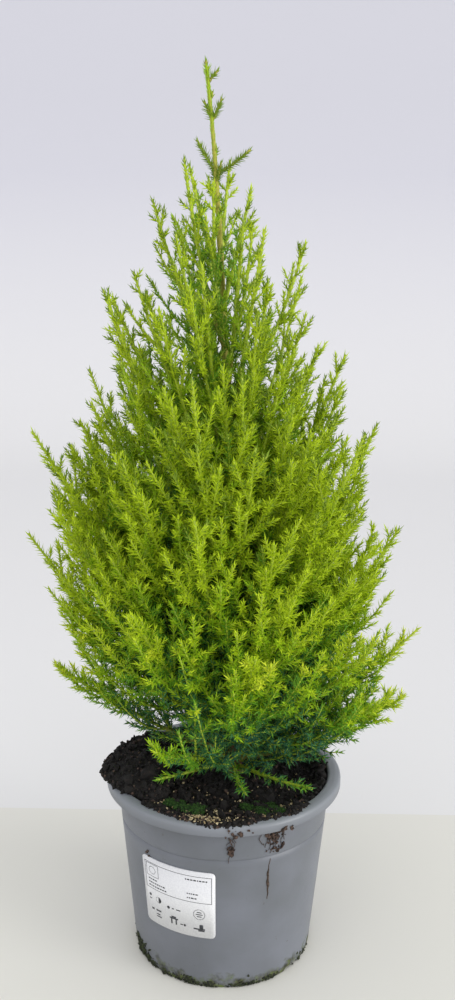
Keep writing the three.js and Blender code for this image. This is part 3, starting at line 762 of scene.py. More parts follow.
def branches(parents, own, outness, fullness, rule, rng):
    """Twigs of one order on all their parents: their paths, shoots and how far out they stand."""
    lengths = lengths_of(parents)
    long_enough = lengths > rule["parent"]
    parents, own, outness, fullness, lengths = (
        array[long_enough] for array in (parents, own, outness, fullness, lengths))
    which, number, places = spread_along(lengths, rule["first"], rule["last"],
                                         by_height(rule["step"], parents[:, -1, 2]))
    count = len(which)
    places = places + rng.uniform(-STEP_JITTER, STEP_JITTER, count) * rule["step"][0]
    shares = np.clip(places / lengths[which], *ROOT_SHARES)
    around = rng.uniform(0, 360, len(parents))[which] + number * GOLDEN_TURN
    around += rng.uniform(-TURN_JITTER, TURN_JITTER, count)
    roots, along = on_paths(parents, which, shares)
    share, shortest, longest, spread = (
        by_height(rule[name], roots[:, 2]) for name in ("share", "shortest", "longest", "spread"))
    grown = (lengths[which] - places) * share * fullness[which] * rng.uniform(*LENGTH_JITTER, count)
    grown = np.clip(grown, shortest, longest)
    directions = leaning(along, around, spread + rng.uniform(-SPREAD_JITTER, SPREAD_JITTER, count))
    paths = np.zeros((count, rule["points"], 3))
    grows = np.zeros(count, bool)
    for size in TWIG_TRIES:
        left = np.flatnonzero(~grows)
        tried = grow(roots[left], directions[left], grown[left] * size, rule["lift"], rule["points"])
        ends = tried[:, [rule["points"] // 2, -1]].reshape(-1, 3)
        fits = has_room(ends, np.repeat(own[which[left]], 2)).reshape(-1, 2).all(axis=1)
        paths[left[fits]] = tried[fits]
        grows[left[fits]] = True
    out = outness[which] + (1 - outness[which]) * shares
    return paths[grows], own[which[grows]], out[grows]


# Small shoots of the leader: height, azimuth, length and spread
LEADER_SHOOTS = (
    (358, -150, 10, 24), (361, 30, 9, 26),
    (365.3, -94, 15.6, 33), (364.6, 92, 16.8, 62), (372, 170, 5, 26),
    (386.7, -95, 8.8, 27), (387.1, 88, 9.2, 25), (396, 170, 3, 30),
    (403.5, 85, 4.6, 46), (402.5, -95, 3.2, 32),
)
LEADER_SHOOT_LIFT = 0.3
LEADER_SHOOT_POINTS = 6
LEADER_NEEDLE_STEP = 0.55
LEADER_END = 0.962
LEADER_NOD = 1.6


def leader_twigs():
    """The leader's side shoots, in pairs far apart, as the photo shows."""
    heights, azimuths, lengths, spreads = np.array(LEADER_SHOOTS, float).T
    shares = (heights - TRUNK_TIP) / (LEADER_TOP - TRUNK_TIP)
    spreads = np.radians(spreads)[:, None]
    directions = outward(azimuths) * np.sin(spreads) + np.array((0, 0, 1.0)) * np.cos(spreads)
    roots, _ = on_paths(SHOOTS, np.full(len(heights), LEADER), shares)
    return grow(roots, directions, lengths, LEADER_SHOOT_LIFT, LEADER_SHOOT_POINTS)


def needles_on(order, paths, tints, tip_tints, bare, rng, step=None, tip_needles=TIP_NEEDLES):
    """Whorls of needles on paths, and a tuft at each tip: base, direction, sideways, length and tint."""
    stem_radius, press = NEEDLE_SEATS[order]
    lengths = lengths_of(paths)
    steps = by_height(NEEDLE_STEP, paths[:, -1, 2]) if step is None else np.full(len(paths), step)
    steps = steps * np.interp(tints, (0, 1, 2), (*HIDDEN_STEP, 1))
    which, number, places = spread_along(lengths, bare * np.ones(len(paths)), TIP_BARE, steps)
    which = np.repeat(which, NEEDLES_ROUND)
    around = np.tile(np.arange(NEEDLES_ROUND) * 360 / NEEDLES_ROUND, len(which) // NEEDLES_ROUND)
    around = around + which * WHORL_TURN + np.repeat(number, NEEDLES_ROUND) * 180 / NEEDLES_ROUND
    left = lengths[which] - np.repeat(places, NEEDLES_ROUND)
    tips = np.repeat(np.arange(len(paths)), tip_needles)
    in_tuft = np.tile(np.arange(tip_needles), len(paths))
    colours = np.concatenate([tints[which], tip_tints[tips]])
    which = np.concatenate([which, tips])
    around = np.concatenate([around, tips * WHORL_TURN + in_tuft * GOLDEN_TURN])
    left = np.concatenate([left, in_tuft * TIP_LENGTH / tip_needles])
    points, along = on_paths(paths, which, 1 - left / lengths[which])
    count = len(which)
    closing = np.clip(left / TIP_TAPER, 0, 1)
    pressed = smooth_step(points[:, 2], *UPPER_PART) * smooth_step(left, *TUFT_FADE) * press
    spreads = np.interp(points[:, 2], *SPREAD_BY_HEIGHT) * (1 - PRESSED_SPREAD * pressed)
    spreads *= TIP_SPREAD + (1 - TIP_SPREAD) * closing
    grown = np.interp(points[:, 2], *NEEDLE_BY_HEIGHT) * (1 - PRESSED_LENGTH * pressed)
    grown *= (TIP_SHARE + (1 - TIP_SHARE) * closing) * rng.uniform(*NEEDLE_JITTER, count)
    around = around + rng.uniform(-NEEDLE_TURN_JITTER, NEEDLE_TURN_JITTER, count)
    spreads += rng.uniform(-NEEDLE_SPREAD_JITTER, NEEDLE_SPREAD_JITTER, count)
    directions = leaning(along, around, spreads)
    sideways = unit(np.cross(along, directions))
    outside = unit(directions - along * (directions * along).sum(-1, keepdims=True))
    return points + outside * stem_radius / 2, directions, sideways, grown, colours


def needle_mesh(bases, directions, sideways, lengths):
    """Awl-shaped needles: three sides that run out to a point, rooted in their stem."""
    ridge = np.cross(sideways, directions)
    half = NEEDLE_WIDTH / 2
    corners = np.stack([
        bases + sideways * half,
        bases - sideways * half,
        bases + ridge * NEEDLE_THICKNESS,
        bases + directions * lengths[:, None],
    ], axis=1)
    one = np.array([(0, 1, 3), (1, 2, 3), (2, 0, 3)])
    faces = one[None] + (np.arange(len(bases)) * 4)[:, None, None]
    return corners.reshape(-1, 3), faces.reshape(-1, 3)


# Tints of the needles, from the shaded inside of the crown to the newest growth: lit and shaded copies of one
# needle, partly the newer growth's own paler colour and partly painted light and shade
TINTS = (
    ("deep", "#37694E"),
    ("shade", "#4A7F47"),
    ("green", "#6EA22E"),
    ("fresh", "#9ABF20"),
    ("lime", "#B8D026"),
    ("gold", "#CEDC38"),
    ("olive", "#78942A"),
)
BRIGHTEST = 5
GREEN = 2
FRESH = 3
OLIVE = 6
OLIVE_SHARE = 0.6
TINT_SPREAD = 0.06
TINT_PATCH = 0.2
TINT_PATCH_SIZE = 17.0

# What a spray's painted light and shade are made of: how far out its tip is, its place on its parents, and
# its height
LEAST_LIGHT = 0.02
OUT_LIGHT = 0.6
OUT_POWER = 1.8
OUT_MOST = 1.1
TIP_LIGHT = 0.32
# Painted shade low in the crown, and more of it at the crown's foot
LOW_SHADE = 0.34
SHADED_FOOT = (88, 235)
FOOT_SHADE = 0.36
FOOT_PART = (104, 132)
# Painted light on the upper crown, more on its right side, where the lamps fall
BRIGHT_SIDE = 0.14
BRIGHT_TOP = 0.1
BRIGHT_ABOVE = (135, 225)
BRIGHT_FROM = (-60, 50)
OPEN_PART = (170, 290)
OPEN_DARKEST = 2.8
OPEN_BRIGHTEST = 4.6
TIP_SHIFT = (1.3, 0.0)
TIP_SHIFT_SPREAD = 0.4


def tints_of(paths, outness, rng):
    """Which tint each spray takes, and its tip's: the further out, the newer and the higher, the brighter.
    This is partly the newer growth's own paler colour and partly painted light, with painted shade inside and
    low in the crown.

    Low in the crown a tip is brighter than its spray, and high up it is a darker green."""
    tips = paths[:, -1]
    reach, out = crown_reach(tips)
    light = OUT_LIGHT * np.minimum(out / reach, OUT_MOST) ** OUT_POWER + TIP_LIGHT * outness + LEAST_LIGHT
    # Painted shade low in the crown
    light -= LOW_SHADE * (1 - smooth_step(tips[:, 2], *SHADED_FOOT))
    # Painted light high up, more on the right side
    sunlit = BRIGHT_TOP + BRIGHT_SIDE * smooth_step(tips[:, 0], *BRIGHT_FROM)
    light += sunlit * smooth_step(tips[:, 2], *BRIGHT_ABOVE)
    # More painted shade at the crown's foot
    light -= FOOT_SHADE * (1 - smooth_step(tips[:, 2], *FOOT_PART))
    light += TINT_PATCH * waves(tips, TINT_PATCH_SIZE, rng) + rng.normal(0, TINT_SPREAD, len(paths))
    open_part = smooth_step(tips[:, 2], *OPEN_PART)
    darkest = OPEN_DARKEST * open_part
    brightest = BRIGHTEST + (OPEN_BRIGHTEST - BRIGHTEST) * open_part
    light = np.clip((BRIGHTEST + 1) * light, darkest, brightest)
    shift = by_height(TIP_SHIFT, tips[:, 2]) + rng.uniform(-TIP_SHIFT_SPREAD, TIP_SHIFT_SPREAD, len(paths))
    tip_light = np.clip(light + shift, darkest, brightest).astype(int)
    olive = rng.random(len(paths)) < OLIVE_SHARE * open_part
    return light.astype(int), np.where(olive, OLIVE, tip_light)


# How far from its root each order of twig bears no needles: shares of its length, or millimetres
SHOOT_BARE = 0.25
FLAT_SHOOT_BARE = 0.08
PLUME_BARE = 0.16
TWIG_BARE = 0.6
UPPER_TWIG_BARE = 1.6
TWIGLET_BARE = 0.5
TOP_BARE = 1.0
LEADER_BARE = 0.8
SHOOT_OUTNESS = 0.5

# Where needles sit by order of twig: the stem's radius, and how far they are pressed high in the crown
NEEDLE_SEATS = {
    "shoot": (0.7, 1),
    "top": (0.8, 1),
    "leader": (0.6, 0),
    "plume": (0.5, 1),
    "twig": (0.3, 0.6),
    "twiglet": (0.25, 0.4),
}


def grow_crown():
    """Every twig by order, and every needle of the crown."""
    rng = np.random.default_rng(SEED)
    own = np.arange(len(SHOOTS))
    boughs = own != LEADER
    rises = SHOOTS[:, -1, 2] - SHOOTS[:, 0, 2]
    flat = rises < PLUME_SHOOT_RISE
    steep = boughs & (rises > PLUME_SHOOT_RISE)
    full = np.clip(rises / FLAT_SHOOT_RISE, LEAST_FULLNESS, 1)
    shoots = (SHOOTS, own, np.zeros(len(SHOOTS)), full)
    on_steep = [array[steep] for array in shoots]
    on_flat = [array[flat] for array in shoots]
    plumes, plume_own, plume_out = branches(*on_steep, PLUME, rng)
    near = branches(*on_steep, TWIG, rng)
    thin = branches(*on_flat, THIN_TWIG, rng)
    far = branches(plumes, plume_own, plume_out, np.ones(len(plumes)), TWIG, rng)
    twigs, twig_own, twig_out = (np.concatenate(column) for column in zip(near, thin, far))
    twiglets, _, twiglet_out = branches(twigs, twig_own, twig_out, np.ones(len(twigs)), TWIGLET, rng)
    shares = np.linspace(0, LEADER_END, SHOOT_POINTS)
    top = on_paths(SHOOTS, np.full(SHOOT_POINTS, LEADER), shares)[0][None]
    top[..., 0] -= LEADER_NOD * shares ** 2
    leader = leader_twigs()
    main = SHOOTS[boughs]
    grown = {"shoot": main, "top": top, "leader": leader, "plume": plumes, "twig": twigs, "twiglet": twiglets}
    main_tints, main_tips = tints_of(main, np.full(len(main), SHOOT_OUTNESS), rng)
    main_tints = np.where(flat[boughs], GREEN, main_tints)
    main_bare = lengths_of(main) * np.where(flat[boughs], FLAT_SHOOT_BARE, SHOOT_BARE)
    plume_bare = lengths_of(plumes) * PLUME_BARE
    twig_bare = TWIG_BARE + UPPER_TWIG_BARE * smooth_step(twigs[:, -1, 2], *UPPER_PART)
    olive = np.full(len(leader), OLIVE)
    needles = [
        needles_on("shoot", main, main_tints, main_tips, main_bare, rng),
        needles_on("top", top, np.full(1, FRESH), np.full(1, OLIVE), TOP_BARE, rng, LEADER_NEEDLE_STEP),
        needles_on("leader", leader, olive, olive, LEADER_BARE, rng, LEADER_NEEDLE_STEP),
        needles_on("plume", plumes, *tints_of(plumes, plume_out, rng), plume_bare, rng),
        needles_on("twig", twigs, *tints_of(twigs, twig_out, rng), twig_bare, rng),
        needles_on("twiglet", twiglets, *tints_of(twiglets, twiglet_out, rng), TWIGLET_BARE, rng,
                   tip_needles=TWIGLET_NEEDLES),
    ]
    return grown, [np.concatenate(column) for column in zip(*needles)]


NEEDLES_PER_PIECE = 48000
MASS_NODES = sorted(name for name in frame["nodes"] if name.startswith("foliage"))

# Radius at the root and at the tip, and sides, of each order of twig
TWIG_SIZES = {
    "shoot": (1.1, 0.5, 7),
    "top": (1.15, 0.6, 9),
    "leader": (0.6, 0.5, 6),
    "plume": (0.6, 0.34, 4),
    "twig": (0.38, 0.25, 3),
    "twiglet": (0.3, 0.22, 3),
}


def make_crown():
    """Stems, twigs and needles as joined pieces, each kind apart."""
    grown, needles = grow_crown()
    green = young_stem("young_cypress_stem", "#B0C23A", "#8CA62C")
    yellow = cypress_bark("young_yellow_bark", "#6F7426", "#96993A", "#A9AC48")
    parts = {}
    for order, (root, tip, sides) in TWIG_SIZES.items():
        paths = grown[order]
        radii = np.linspace(root, tip, paths.shape[1]) * np.ones((len(paths), 1))
        parts[order] = tubes(paths, radii, sides)
    add_piece("stems", *joined([parts["shoot"], parts["plume"]]), green, "needles", replaces=MASS_NODES)
    add_piece("leader_stem", *joined([parts["top"], parts["leader"]]), yellow, "bark")
    add_piece("twigs", *parts["twig"], green, "needles")
    add_piece("twiglets", *parts["twiglet"], green, "needles")
    tints = needles.pop()
    for tint, (name, colour) in enumerate(TINTS):
        material = cypress_needle(f"cypress_needle_{name}", colour)
        chosen = np.flatnonzero(tints == tint)
        for number, start in enumerate(range(0, len(chosen), NEEDLES_PER_PIECE), 1):
            some = chosen[start:start + NEEDLES_PER_PIECE]
            mesh = needle_mesh(*(array[some] for array in needles))
            add_piece(f"needles_{name}_{number}", *mesh, material, "needles", smooth=False)


# Bark: the trunk whole to its tip, and the woody lower part of each shoot
BARK_SIDES = 28
BARK_STEP = 1.2
BARK_RELIEF = 0.22
CLEAN_FOOT = 0.5
BOUGH_SIDES = 10
BOUGH_RINGS = 28
BOUGH_RELIEF = 0.09
BOUGH_STRIP = 1.3
WOODY_SHARE = 0.4
BOUGH_ROOT_RADIUS = 1.6
BOUGH_TIP_RADIUS = 0.75
BOUGH_FULL_LENGTH = 90.0
BOUGH_LARGEST = 1.1

# Strips of the trunk's bark: width, width as a share of their length, and share of the relief
BARK_STRIPS = ((1.7, 0.16, 1.0), (0.9, 0.4, 0.6))


def make_bark():
    """A relief of upright strips on the trunk and finer strips on the boughs."""
    rng = np.random.default_rng(SEED + 1)
    heights = np.arange(TRUNK_FOOT, TRUNK_TIP + BARK_STEP, BARK_STEP)
    heights = np.clip(heights, TRUNK_FOOT, TRUNK_TIP)
    path = trunk_axis(heights)[None]
    vertices, faces = tubes(path, trunk_radius(heights)[None], BARK_SIDES)
    centre = trunk_axis(vertices[:, 2])
    side = unit((vertices - centre) * (1, 1, 0) + 1e-9)
    ridges = sum(depth * waves(vertices * (1, 1, drawn_out), width, rng)
                 for width, drawn_out, depth in BARK_STRIPS)
    clear = vertices[:, 2] > TRUNK_FOOT + CLEAN_FOOT
    vertices = vertices + side * (BARK_RELIEF * ridges * clear)[:, None]
    brown = cypress_bark("red_brown_bark", "#3E2E1E", "#6C5030", "#857440")
    add_piece("trunk_bark", vertices, faces, brown, "bark", replaces=["trunk"])
    parts = []
    for number, length in enumerate(lengths_of(SHOOTS)[:-1]):
        shares = np.linspace(0.0, WOODY_SHARE, BOUGH_RINGS)
        size = min(length / BOUGH_FULL_LENGTH, BOUGH_LARGEST)
        radii = (BOUGH_ROOT_RADIUS + (BOUGH_TIP_RADIUS - BOUGH_ROOT_RADIUS) * shares / WOODY_SHARE) * size
        points, _ = on_paths(SHOOTS, np.full(len(shares), number), shares)
        limb, limb_faces = tubes(points[None], radii[None], BOUGH_SIDES)
        limb = limb + BOUGH_RELIEF * waves(limb, BOUGH_STRIP, rng)[:, None] * unit(rng.normal(size=3))
        parts.append((limb, limb_faces))
    limbs = [name for name in frame["nodes"] if name.startswith("bough")]
    green = cypress_bark("green_bark", "#5F5A2A", "#8A8A3A", "#A3A84A")
    add_piece("bough_bark", *joined(parts), green, "bark", replaces=limbs)


# Pot: the rounding of its edges and the steps of its mould, in its own profile
POT_SEGMENTS = 240
WALL_RINGS = 22
INSIDE_RINGS = 12
NOTCH_FROM = 38.0
NOTCH_EASE = 0.8
UNDERSIDE_RADIUS = 36.0
UNDERSIDE_RISE = 1.0
FOOT_RING = 38.6
FOOT_ROUND = 0.9
MOULD_STEP = 0.3
SKIRT_INSET = 0.9
SKIRT_ROUND = 0.7
SKIRT_EDGE = 0.35
EDGE_ROUND = 0.4
RIM_ROUND = 2.0
LIP_ROUND = 1.7
INSIDE_TOP = 84.5


def pot_radius(z):
    """Outside radius of the pot's wall."""
    return FOOT_RADIUS + (NECK_RADIUS - FOOT_RADIUS) * z / NECK_HEIGHT


def inside_radius(z):
    """Inside radius of the pot's wall."""
    return pot_radius(np.minimum(z, NECK_HEIGHT + 2)) - WALL


def arc(across, up, radius, start, end, steps):
    """Points of a round edge in a profile, by angle in degrees from straight out."""
    turn = np.radians(np.linspace(start, end, steps))
    return list(zip(across + radius * np.cos(turn), up + radius * np.sin(turn)))


def pot_profile():
    """The pot's outline, from the middle of its underside up the outside and back down the inside."""
    lip_bottom = RIM_HEIGHT - RIM_DROP
    skirt = RIM_RADIUS - WALL + 0.1
    under_rim = RIM_HEIGHT - WALL - SKIRT_INSET
    step_radius = pot_radius(MOULD_LINE) - MOULD_STEP
    outline = [(0.0, UNDERSIDE_RISE), (UNDERSIDE_RADIUS, UNDERSIDE_RISE)]
    outline += arc(FOOT_RING, FOOT_ROUND, FOOT_ROUND, 180, 270, 3)
    outline += arc(FOOT_RADIUS - FOOT_ROUND, FOOT_ROUND, FOOT_ROUND, 270, 360, 5)
    outline += [(pot_radius(z), z) for z in np.linspace(2, MOULD_LINE - 0.6, WALL_RINGS)]
    outline += [(step_radius - 0.02, MOULD_LINE - 0.45), (step_radius, MOULD_LINE - 0.1)]
    outline += [(pot_radius(z), z) for z in (MOULD_LINE + 0.15, MOULD_LINE + 1, 76, 82)]
    outline += [(NECK_RADIUS, lip_bottom)]
    outline += arc(NECK_RADIUS + SKIRT_INSET, under_rim, SKIRT_ROUND, 180, 90, 4)
    outline += arc(skirt - SKIRT_INSET, under_rim, SKIRT_ROUND, 90, 0, 4)
    outline += [(skirt, lip_bottom + EDGE_ROUND)]
    outline += arc(skirt + SKIRT_EDGE, lip_bottom + SKIRT_EDGE, SKIRT_EDGE, 180, 270, 3)
    outline += arc(RIM_RADIUS - EDGE_ROUND, lip_bottom + EDGE_ROUND, EDGE_ROUND, 270, 360, 4)
    outline += arc(RIM_RADIUS - RIM_ROUND, RIM_HEIGHT - 2.2, RIM_ROUND, 0, 60, 7)
    outline += [(RIM_RADIUS - 2.2, RIM_HEIGHT - 0.12), (RIM_RADIUS - 3.2, RIM_HEIGHT)]
    outline += arc(RIM_RADIUS - 4.6, RIM_HEIGHT - 1.8, LIP_ROUND, 78, 165, 7)
    outline += [(inside_radius(z), z) for z in np.linspace(INSIDE_TOP, FLOOR_THICKNESS, INSIDE_RINGS)]
    return np.array(outline + [(0.0, FLOOR_THICKNESS)])


def make_pot():
    """The moulded pot: one turned profile, its rim rolled over a hollow skirt and its foot notched."""
    profile = pot_profile()
    azimuths = np.arange(POT_SEGMENTS) * 360 / POT_SEGMENTS
    rings = outward(azimuths)[None] * profile[:, 0, None, None]
    rings[..., 2] += profile[:, 1, None]
    # Foot notches: the lowest stretch of the outline lifts at each of them
    spacing = 360 / NOTCH_COUNT
    turn = np.abs((azimuths - NOTCH_AZIMUTH + spacing / 2) % spacing - spacing / 2)
    half = math.degrees(NOTCH_WIDTH / 2 / FOOT_RADIUS)
    lifted = NOTCH_HEIGHT * (1 - smooth_step(turn, half - NOTCH_EASE, half + NOTCH_EASE))
    low = (profile[:, 1] < NOTCH_HEIGHT) & (profile[:, 0] > NOTCH_FROM)
    rings[low, :, 2] = np.maximum(rings[low, :, 2], lifted[None])
    faces = ring_faces(len(profile), POT_SEGMENTS)
    add_piece("nursery_pot", rings.reshape(-1, 3), faces, moulded_polypropylene(), "pot_plastic",
              replaces=["pot"])


# Label: a thin sheet on the pot's wall, and plain generic print on it
LABEL_MIDDLE = pot_radius((LABEL_LOW + LABEL_HIGH) / 2)
LABEL_WIDTH = math.radians(LABEL_TO - LABEL_FROM) * LABEL_MIDDLE
LABEL_TALL = LABEL_HIGH - LABEL_LOW
LABEL_FACE = LABEL_THICKNESS + SEAT_GAP
LABEL_UNDER = 0.02
PRINT_LIFT = 0.05
SHEET_COLUMNS = 30
CORNER_SHARES = (0, 0.06, 0.2, 0.5, 1)

# The print. A place is millimetres across and up from the label's lower left corner.
# Frames and bars: place, width and height, and a frame's line
PRINT_FRAMES = ((LABEL_WIDTH / 2, 25.2, LABEL_WIDTH - 3.2, 13.6, 0.22), (6.0, 28.2, 7.0, 6.4, 0.2))
PRINT_BARS = (
    (3.6, 12.6, 1.3, 0.5), (16.6, 12.0, 1.0, 0.55), (19.4, 12.0, 2.2, 0.55),
    (29.5, 13.3, 2.2, 0.45), (29.5, 12.2, 3.2, 0.45), (29.5, 11.1, 2.2, 0.45),
    (4.6, 7.4, 1.5, 0.9), (8.2, 7.6, 3.0, 0.8), (7.8, 5.6, 2.2, 0.5), (8.2, 4.4, 3.0, 0.5),
    (15.6, 5.2, 0.7, 2.6), (18.0, 5.2, 0.7, 2.6), (16.8, 6.9, 4.4, 0.7), (16.8, 7.7, 2.4, 0.7),
    (20.8, 5.0, 1.3, 0.5), (29.4, 4.4, 5.4, 0.7), (30.4, 3.6, 3.0, 0.7),
)
# Circles: place, radius and line. Discs: place, radius, and the part of it that is printed.
PRINT_CIRCLES = ((6.0, 28.2, 1.9, 0.28), (8.6, 13.4, 1.5, 0.2), (29.5, 12.2, 2.6, 0.36))
PRINT_DISCS = (
    (3.6, 14.6, 0.7), (8.6, 13.4, 1.5, 0.0, 1.0), (14.2, 12.0, 0.75), (22.4, 5.0, 0.6),
    (30.4, 5.4, 1.5, -0.4, 0.4),
)
CIRCLE_BARS = 24
DISC_COLUMNS = 13
# Rows of small bars that stand for small print: place of the start, and length
SMALL_PRINT = (
    (23.5, 30.0, 9.5), (3.4, 23.4, 4.5), (3.4, 21.6, 9.5), (3.4, 19.9, 9.5), (24.0, 22.6, 4.5),
    (24.0, 20.4, 4.5),
)
SMALL_BAR = (0.5, 1.3)
SMALL_BAR_TALL = 0.62
SMALL_BAR_GAP = 0.4


def on_label(across, up, lift):
    """Points on the pot's wall from a place on the flat label."""
    z = LABEL_LOW + np.asarray(up, float)
    azimuth = LABEL_FROM + np.degrees(np.asarray(across, float) / LABEL_MIDDLE)
    points = outward(azimuth) * (pot_radius(z) + lift)[..., None]
    points[..., 2] = z
    return points


def slab(columns, low, high, under=LABEL_FACE, over=LABEL_FACE + PRINT_LIFT):
    """A thin closed sheet on the label between two edges given at columns."""
    count = len(columns)
    edges = ((low, over), (low, under), (high, under), (high, over))
    ring = [on_label(columns, up, lift) for up, lift in edges]
    vertices = np.stack(ring, axis=1).reshape(-1, 3)
    faces = ring_faces(count, 4)
    last = (count - 1) * 4
    caps = [(0, 2, 1), (0, 3, 2), (last, last + 1, last + 2), (last, last + 2, last + 3)]
    return vertices, np.concatenate([faces, caps])


def bar(across, up, width, height):
    """A printed bar by its middle and size."""
    columns = np.linspace(across - width / 2, across + width / 2, max(2, int(width / 2) + 2))
    low = np.full(len(columns), up - height / 2)
    return slab(columns, low, low + height)


def disc(across, up, radius, start=-1.0, end=1.0):
    """A printed disc, or the part of it between two shares of its radius."""
    columns = across + radius * np.sin(np.linspace(start, end, DISC_COLUMNS) * math.pi / 2) * 0.999
    half = np.sqrt(np.maximum(radius ** 2 - (columns - across) ** 2, 1e-4))
    return slab(columns, up - half, up + half)


def frame_of(across, up, width, height, line):
    """Four bars that frame a field."""
    return [
        bar(across, up - height / 2, width, line),
        bar(across, up + height / 2, width, line),
        bar(across - width / 2, up, line, height),
        bar(across + width / 2, up, line, height),
    ]


def circle_line(across, up, radius, line):
    """A printed circle, as short bars set round it."""
    angles = np.arange(CIRCLE_BARS) * 2 * math.pi / CIRCLE_BARS
    return [bar(across + radius * math.cos(a), up + radius * math.sin(a), line, line) for a in angles]


def small_print(rng):
    """Rows of small bars of uneven width."""
    bars = []
    for start, up, length in SMALL_PRINT:
        across = start
        while across < start + length:
            width = rng.uniform(*SMALL_BAR)
            bars.append(bar(across + width / 2, up, width, SMALL_BAR_TALL))
            across += width + SMALL_BAR_GAP
    return bars


def make_label():
    """The sticker with round corners, then its print: frames, rows of small bars and plain signs."""
    ends = np.array(CORNER_SHARES) * LABEL_CORNER
    inside = np.linspace(LABEL_CORNER, LABEL_WIDTH - LABEL_CORNER, SHEET_COLUMNS)[1:-1]
    columns = np.concatenate([ends, inside, LABEL_WIDTH - ends[::-1]])
    from_end = np.minimum(np.minimum(columns, LABEL_WIDTH - columns), LABEL_CORNER)
    inset = LABEL_CORNER - np.sqrt(np.maximum(LABEL_CORNER ** 2 - (LABEL_CORNER - from_end) ** 2, 0))
    sheet = slab(columns, inset, LABEL_TALL - inset, LABEL_UNDER, LABEL_FACE)
    add_piece("label_sheet", *sheet, coated_paper(), "label_paper", replaces=["label"])
    marks = small_print(np.random.default_rng(SEED + 2))
    for make, rows in ((frame_of, PRINT_FRAMES), (circle_line, PRINT_CIRCLES)):
        for row in rows:
            marks += make(*row)
    marks += [disc(*row) for row in PRINT_DISCS]
    marks += [bar(*row) for row in PRINT_BARS]
    add_piece("label_print", *joined(marks), printing_ink(), "label_paper")


# Soil and what lies on it
HEAP_FROM = -136.0
HEAP_TO = -42.0
HEAP_RIDGE = 42.0
HEAP_INWARD = 17.0
HEAP_OUTWARD = 13.4
HEAP_OVERHANG = 3.2
OVERHANG_AT = -80.0
OVERHANG_WIDTH = 17.0
HEAP_TALL = 5.6
HEAP_SOLE = 88.9
HEAP_SKIN = -0.35
SOLE_DEEP = 4.5
SOLE_ON_RIM = 1.3
RIM_FROM = 50.0

# Uneven lumps: how far corners are dented and sides squeezed, as shares
DENT = (0.6, 1.35)
SQUEEZE = (0.4, 1.3)


def turns(count, rng):
    """Random turns in space, as matrices."""
    first = unit(rng.normal(size=(count, 3)))
    second = unit(np.cross(first, rng.normal(size=(count, 3))))
    return np.stack([first, second, np.cross(first, second)], axis=1)


def ball(rounds):
    """Corners and faces of a ball made from an eight-sided one by halving its edges."""
    corners = [(1, 0, 0), (-1, 0, 0), (0, 1, 0), (0, -1, 0), (0, 0, 1), (0, 0, -1)]
    corners = [np.array(c, float) for c in corners]
    faces = [(0, 2, 4), (2, 1, 4), (1, 3, 4), (3, 0, 4), (2, 0, 5), (1, 2, 5), (3, 1, 5), (0, 3, 5)]
    for _ in range(rounds):
        middles = {}
        halved = []
        for a, b, c in faces:
            found = []
            for key in ((a, b), (b, c), (c, a)):
                key = tuple(sorted(key))
                if key not in middles:
                    middles[key] = len(corners)
                    corners.append(unit(corners[key[0]] + corners[key[1]]))
                found.append(middles[key])
            ab, bc, ca = found
            halved += [(a, ab, ca), (ab, b, bc), (ca, bc, c), (ab, bc, ca)]
        faces = halved
    return np.array(corners), np.array(faces)


def lumps(centres, sizes, rng):
    """Uneven lumps: a small ball each, squeezed, dented and turned."""
    corners, faces = ball(1)
    count = len(centres)
    dent = rng.uniform(*DENT, (count, len(corners), 1))
    squeeze = rng.uniform(*SQUEEZE, (count, 1, 3))
    shaped = (corners[None] * squeeze * dent) @ turns(count, rng)
    vertices = centres[:, None] + shaped * sizes[:, None, None]
    all_faces = faces[None] + (np.arange(count) * len(corners))[:, None, None]
    return vertices.reshape(-1, 3), all_faces.reshape(-1, 3)


def at(azimuth, radius, z):
    """Points from azimuths in degrees, radii and heights."""
    points = outward(np.asarray(azimuth, float)) * np.asarray(radius, float)[..., None]
    points[..., 2] = z
    return points


def scattered(count, rng, low=0.0, high=RIM_FROM):
    """Points spread evenly over the soil inside the pot."""
    radius = np.sqrt(rng.uniform(low ** 2, high ** 2, count))
    points = at(rng.uniform(-180, 180, count), radius, 0)
    points[:, 2] = ground(points)
    return points


BRIM_RISE = 1.9
BRIM_ARC = 52.0
BRIM_FLAT = 31.2
BRIM_SLOPE = (36, 47)
BANK_LEVEL = 87.3
BANK = (41.0, 48.0)


def ground(points):
    """Height of the soil's surface: it rises to the brim along the front."""
    radius = np.hypot(points[:, 0], points[:, 1])
    azimuth = np.degrees(np.arctan2(points[:, 0], -points[:, 1]))
    front = 1 - smooth_step(np.abs(azimuth), BRIM_FLAT, BRIM_ARC)
    level = soil_height(points[:, 0], points[:, 1]) + BRIM_RISE * front * smooth_step(radius, *BRIM_SLOPE)
    return level + (BANK_LEVEL - level) * smooth_step(radius, *BANK) * (level < BANK_LEVEL)


SOIL_RINGS = 84
SOIL_SEGMENTS = 200
SOIL_GAP = 0.2
SOIL_MIDDLE = 0.4
SOIL_CALM = (5, 10)
SOIL_SETTLED = 0.3
HEAP_FREE = (-0.5, 0.2)

# How many crumbs and bark bits lie on the soil, on the heap and along the brim
SOIL_CRUMBS = 1800
HEAP_CRUMBS = 1400
BRIM_CRUMBS = 1100
SOIL_BITS = 360
HEAP_BITS = 260
BRIM_BITS = 220

# Roughness of the peat: size and depth of its clods and grains
PEAT_ROUGH = ((6.0, 1.0), (2.6, 0.8), (1.2, 0.5))
HEAP_ROUGH = ((6.0, 1.3), (2.6, 0.9), (1.2, 0.5))


def rough(points, sizes, rng):
    """How far points of rough peat stand out."""
    return sum(depth * waves(points, size, rng) for size, depth in sizes)


